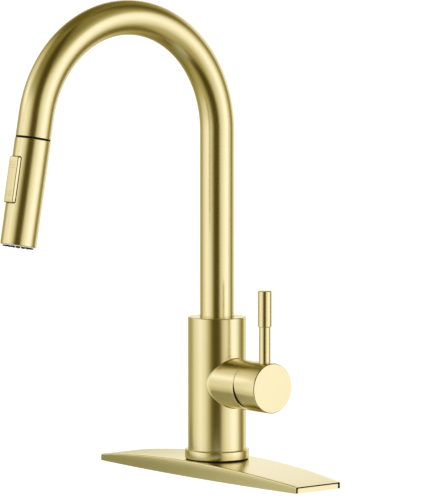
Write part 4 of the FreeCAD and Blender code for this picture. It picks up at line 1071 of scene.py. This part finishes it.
def make_jack_screws():
    """Two slotted screws with threaded shafts and round heads."""
    low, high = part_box("nut_screws")
    bm = bmesh.new()
    for x in (-JACK_CIRCLE, JACK_CIRCLE):
        spot = (x, 0.0)
        rows = [circle_row(0.3 * MM, high.z - 0.02 * MM, on_upright, 32, spot),
                circle_row(1.9 * MM, high.z - 0.02 * MM, on_upright, 32, spot)]
        rows += threaded_rows(SCREW_RADIUS, SCREW_PITCH, low.z + 4.2 * MM, high.z - 0.5 * MM, 0.4 * MM,
                              on_upright, 32, spot)[::-1]
        for inset, rise in ((0.4, 4.0), (0.0, 3.6), (0.0, 1.4), (0.35, 0.6), (1.1, 0.15), (2.2, 0.0)):
            rows.append(circle_row(SCREW_HEAD - inset * MM, low.z + rise * MM, on_upright, 32, spot))
        skin(bm, rows)
    screws = piece("jack_screws", bm, "mounting_hardware", "steel", "nut_screws")
    cutter = bmesh.new()
    for x in (-JACK_CIRCLE, JACK_CIRCLE):
        for corner in bmesh.ops.create_cube(cutter, size=1.0)["verts"]:
            corner.co = Vector((x + corner.co.x * SCREW_SLOT[0] * MM, corner.co.y * SCREW_SLOT[1] * MM,
                                low.z + corner.co.z * SCREW_SLOT[2] * MM))
    carve(screws, cutter)


def make_hose_fitting():
    """The hose's lower end: a crimped collar, a groove for the clip and a nose with a ring."""
    low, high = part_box("hose_lower_fitting")
    top, foot = high.z, low.z
    wide = high.x
    bm = bmesh.new()
    profile = [(3.0 * MM, top - 0.1 * MM), (5.3 * MM, top - 0.1 * MM), (wide - 0.3 * MM, top - 1.6 * MM)]
    for groove in (3.2, 5.0, 6.8):
        level = top - groove * MM
        profile += [(wide, level + 0.35 * MM), (wide - 0.45 * MM, level + 0.15 * MM),
                    (wide - 0.45 * MM, level - 0.15 * MM), (wide, level - 0.35 * MM)]
    profile += [(wide, top - 9.4 * MM), (wide - 1.0 * MM, top - 10.2 * MM), (5.6 * MM, top - 10.4 * MM),
                (5.6 * MM, top - 11.6 * MM), (4.5 * MM, top - 12.0 * MM), (4.5 * MM, foot + 0.5 * MM),
                (4.0 * MM, foot), (3.0 * MM, foot)]
    lathe(bm, profile, on_upright, 64, ease=0.2 * MM)
    piece("quick_connect", bm, "spout", "brass_raw", "hose_lower_fitting")


# ---------------------------------------------------------------- spray hose

HOSE_RADIUS = 4.5 * MM
HOSE_SIDES = 24
HOSE_END = 12.3 * MM               # above the dock line, along the head's axis
CROWN = 95.0 * MM                  # radius of the gooseneck's centre line
DRAWN = 24.0 * MM                  # of the hose at its end, drawn out with the head
LONG_ROWS = 260
DRAWN_ROWS = 144
HOSE_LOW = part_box("spray_hose")[0].z
CROWN_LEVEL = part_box("spray_hose")[1].z - HOSE_RADIUS - CROWN


def hose_point(distance):
    """A point of the hose's centre line and its direction, that far back from its end."""
    end = DOCK - HEAD_AXIS * HOSE_END
    turn = math.pi - math.atan2(-HEAD_AXIS.y, -HEAD_AXIS.z)
    leave = Vector((0, -CROWN + CROWN * math.cos(turn), CROWN_LEVEL + CROWN * math.sin(turn)))
    straight = (end - leave).length
    if distance <= straight:
        return end - HEAD_AXIS * distance, HEAD_AXIS
    angle = turn - (distance - straight) / CROWN
    if angle > 0:
        place = Vector((0, -CROWN + CROWN * math.cos(angle), CROWN_LEVEL + CROWN * math.sin(angle)))
        return place, Vector((0, -math.sin(angle), math.cos(angle)))
    return Vector((0, 0, max(HOSE_LOW, CROWN_LEVEL + angle * CROWN))), Vector((0, 0, 1))


def hose_rows(distances):
    rows = []
    side = Vector((1, 0, 0))
    for distance in distances:
        point, along = hose_point(distance)
        out = along.cross(side)
        rows.append([point + (side * math.cos(angle) + out * math.sin(angle)) * HOSE_RADIUS
                     for angle in (FULL_TURN * step / HOSE_SIDES for step in range(HOSE_SIDES))])
    return rows


def make_hose():
    """The hose: its long part stays in the spout, and its end draws out with the head."""
    length = DRAWN
    while hose_point(length)[0].z > HOSE_LOW:
        length += MM
    bm = bmesh.new()
    skin(bm, hose_rows([length + (DRAWN - length) * step / LONG_ROWS for step in range(LONG_ROWS + 1)]))
    piece("hose_in_spout", bm, "spout", "hose_braid", "spray_hose")
    bm = bmesh.new()
    skin(bm, hose_rows([DRAWN * (1 - step / DRAWN_ROWS) for step in range(DRAWN_ROWS + 1)]))
    drawn = piece("hose_drawn", bm, None, "hose_braid")
    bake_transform(drawn)
    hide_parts("spray_hose")


def make_pieces():
    make_plate()
    make_plate_gasket()
    make_base_ring()
    make_boss()
    make_hub()
    make_pad()
    make_spray_end()
    make_shank()
    make_nut()
    make_jack_screws()
    make_hose_fitting()
    make_hose()


make_camera()
make_world()
make_floor()
make_card()
make_materials()
dress_nodes()
make_pieces()
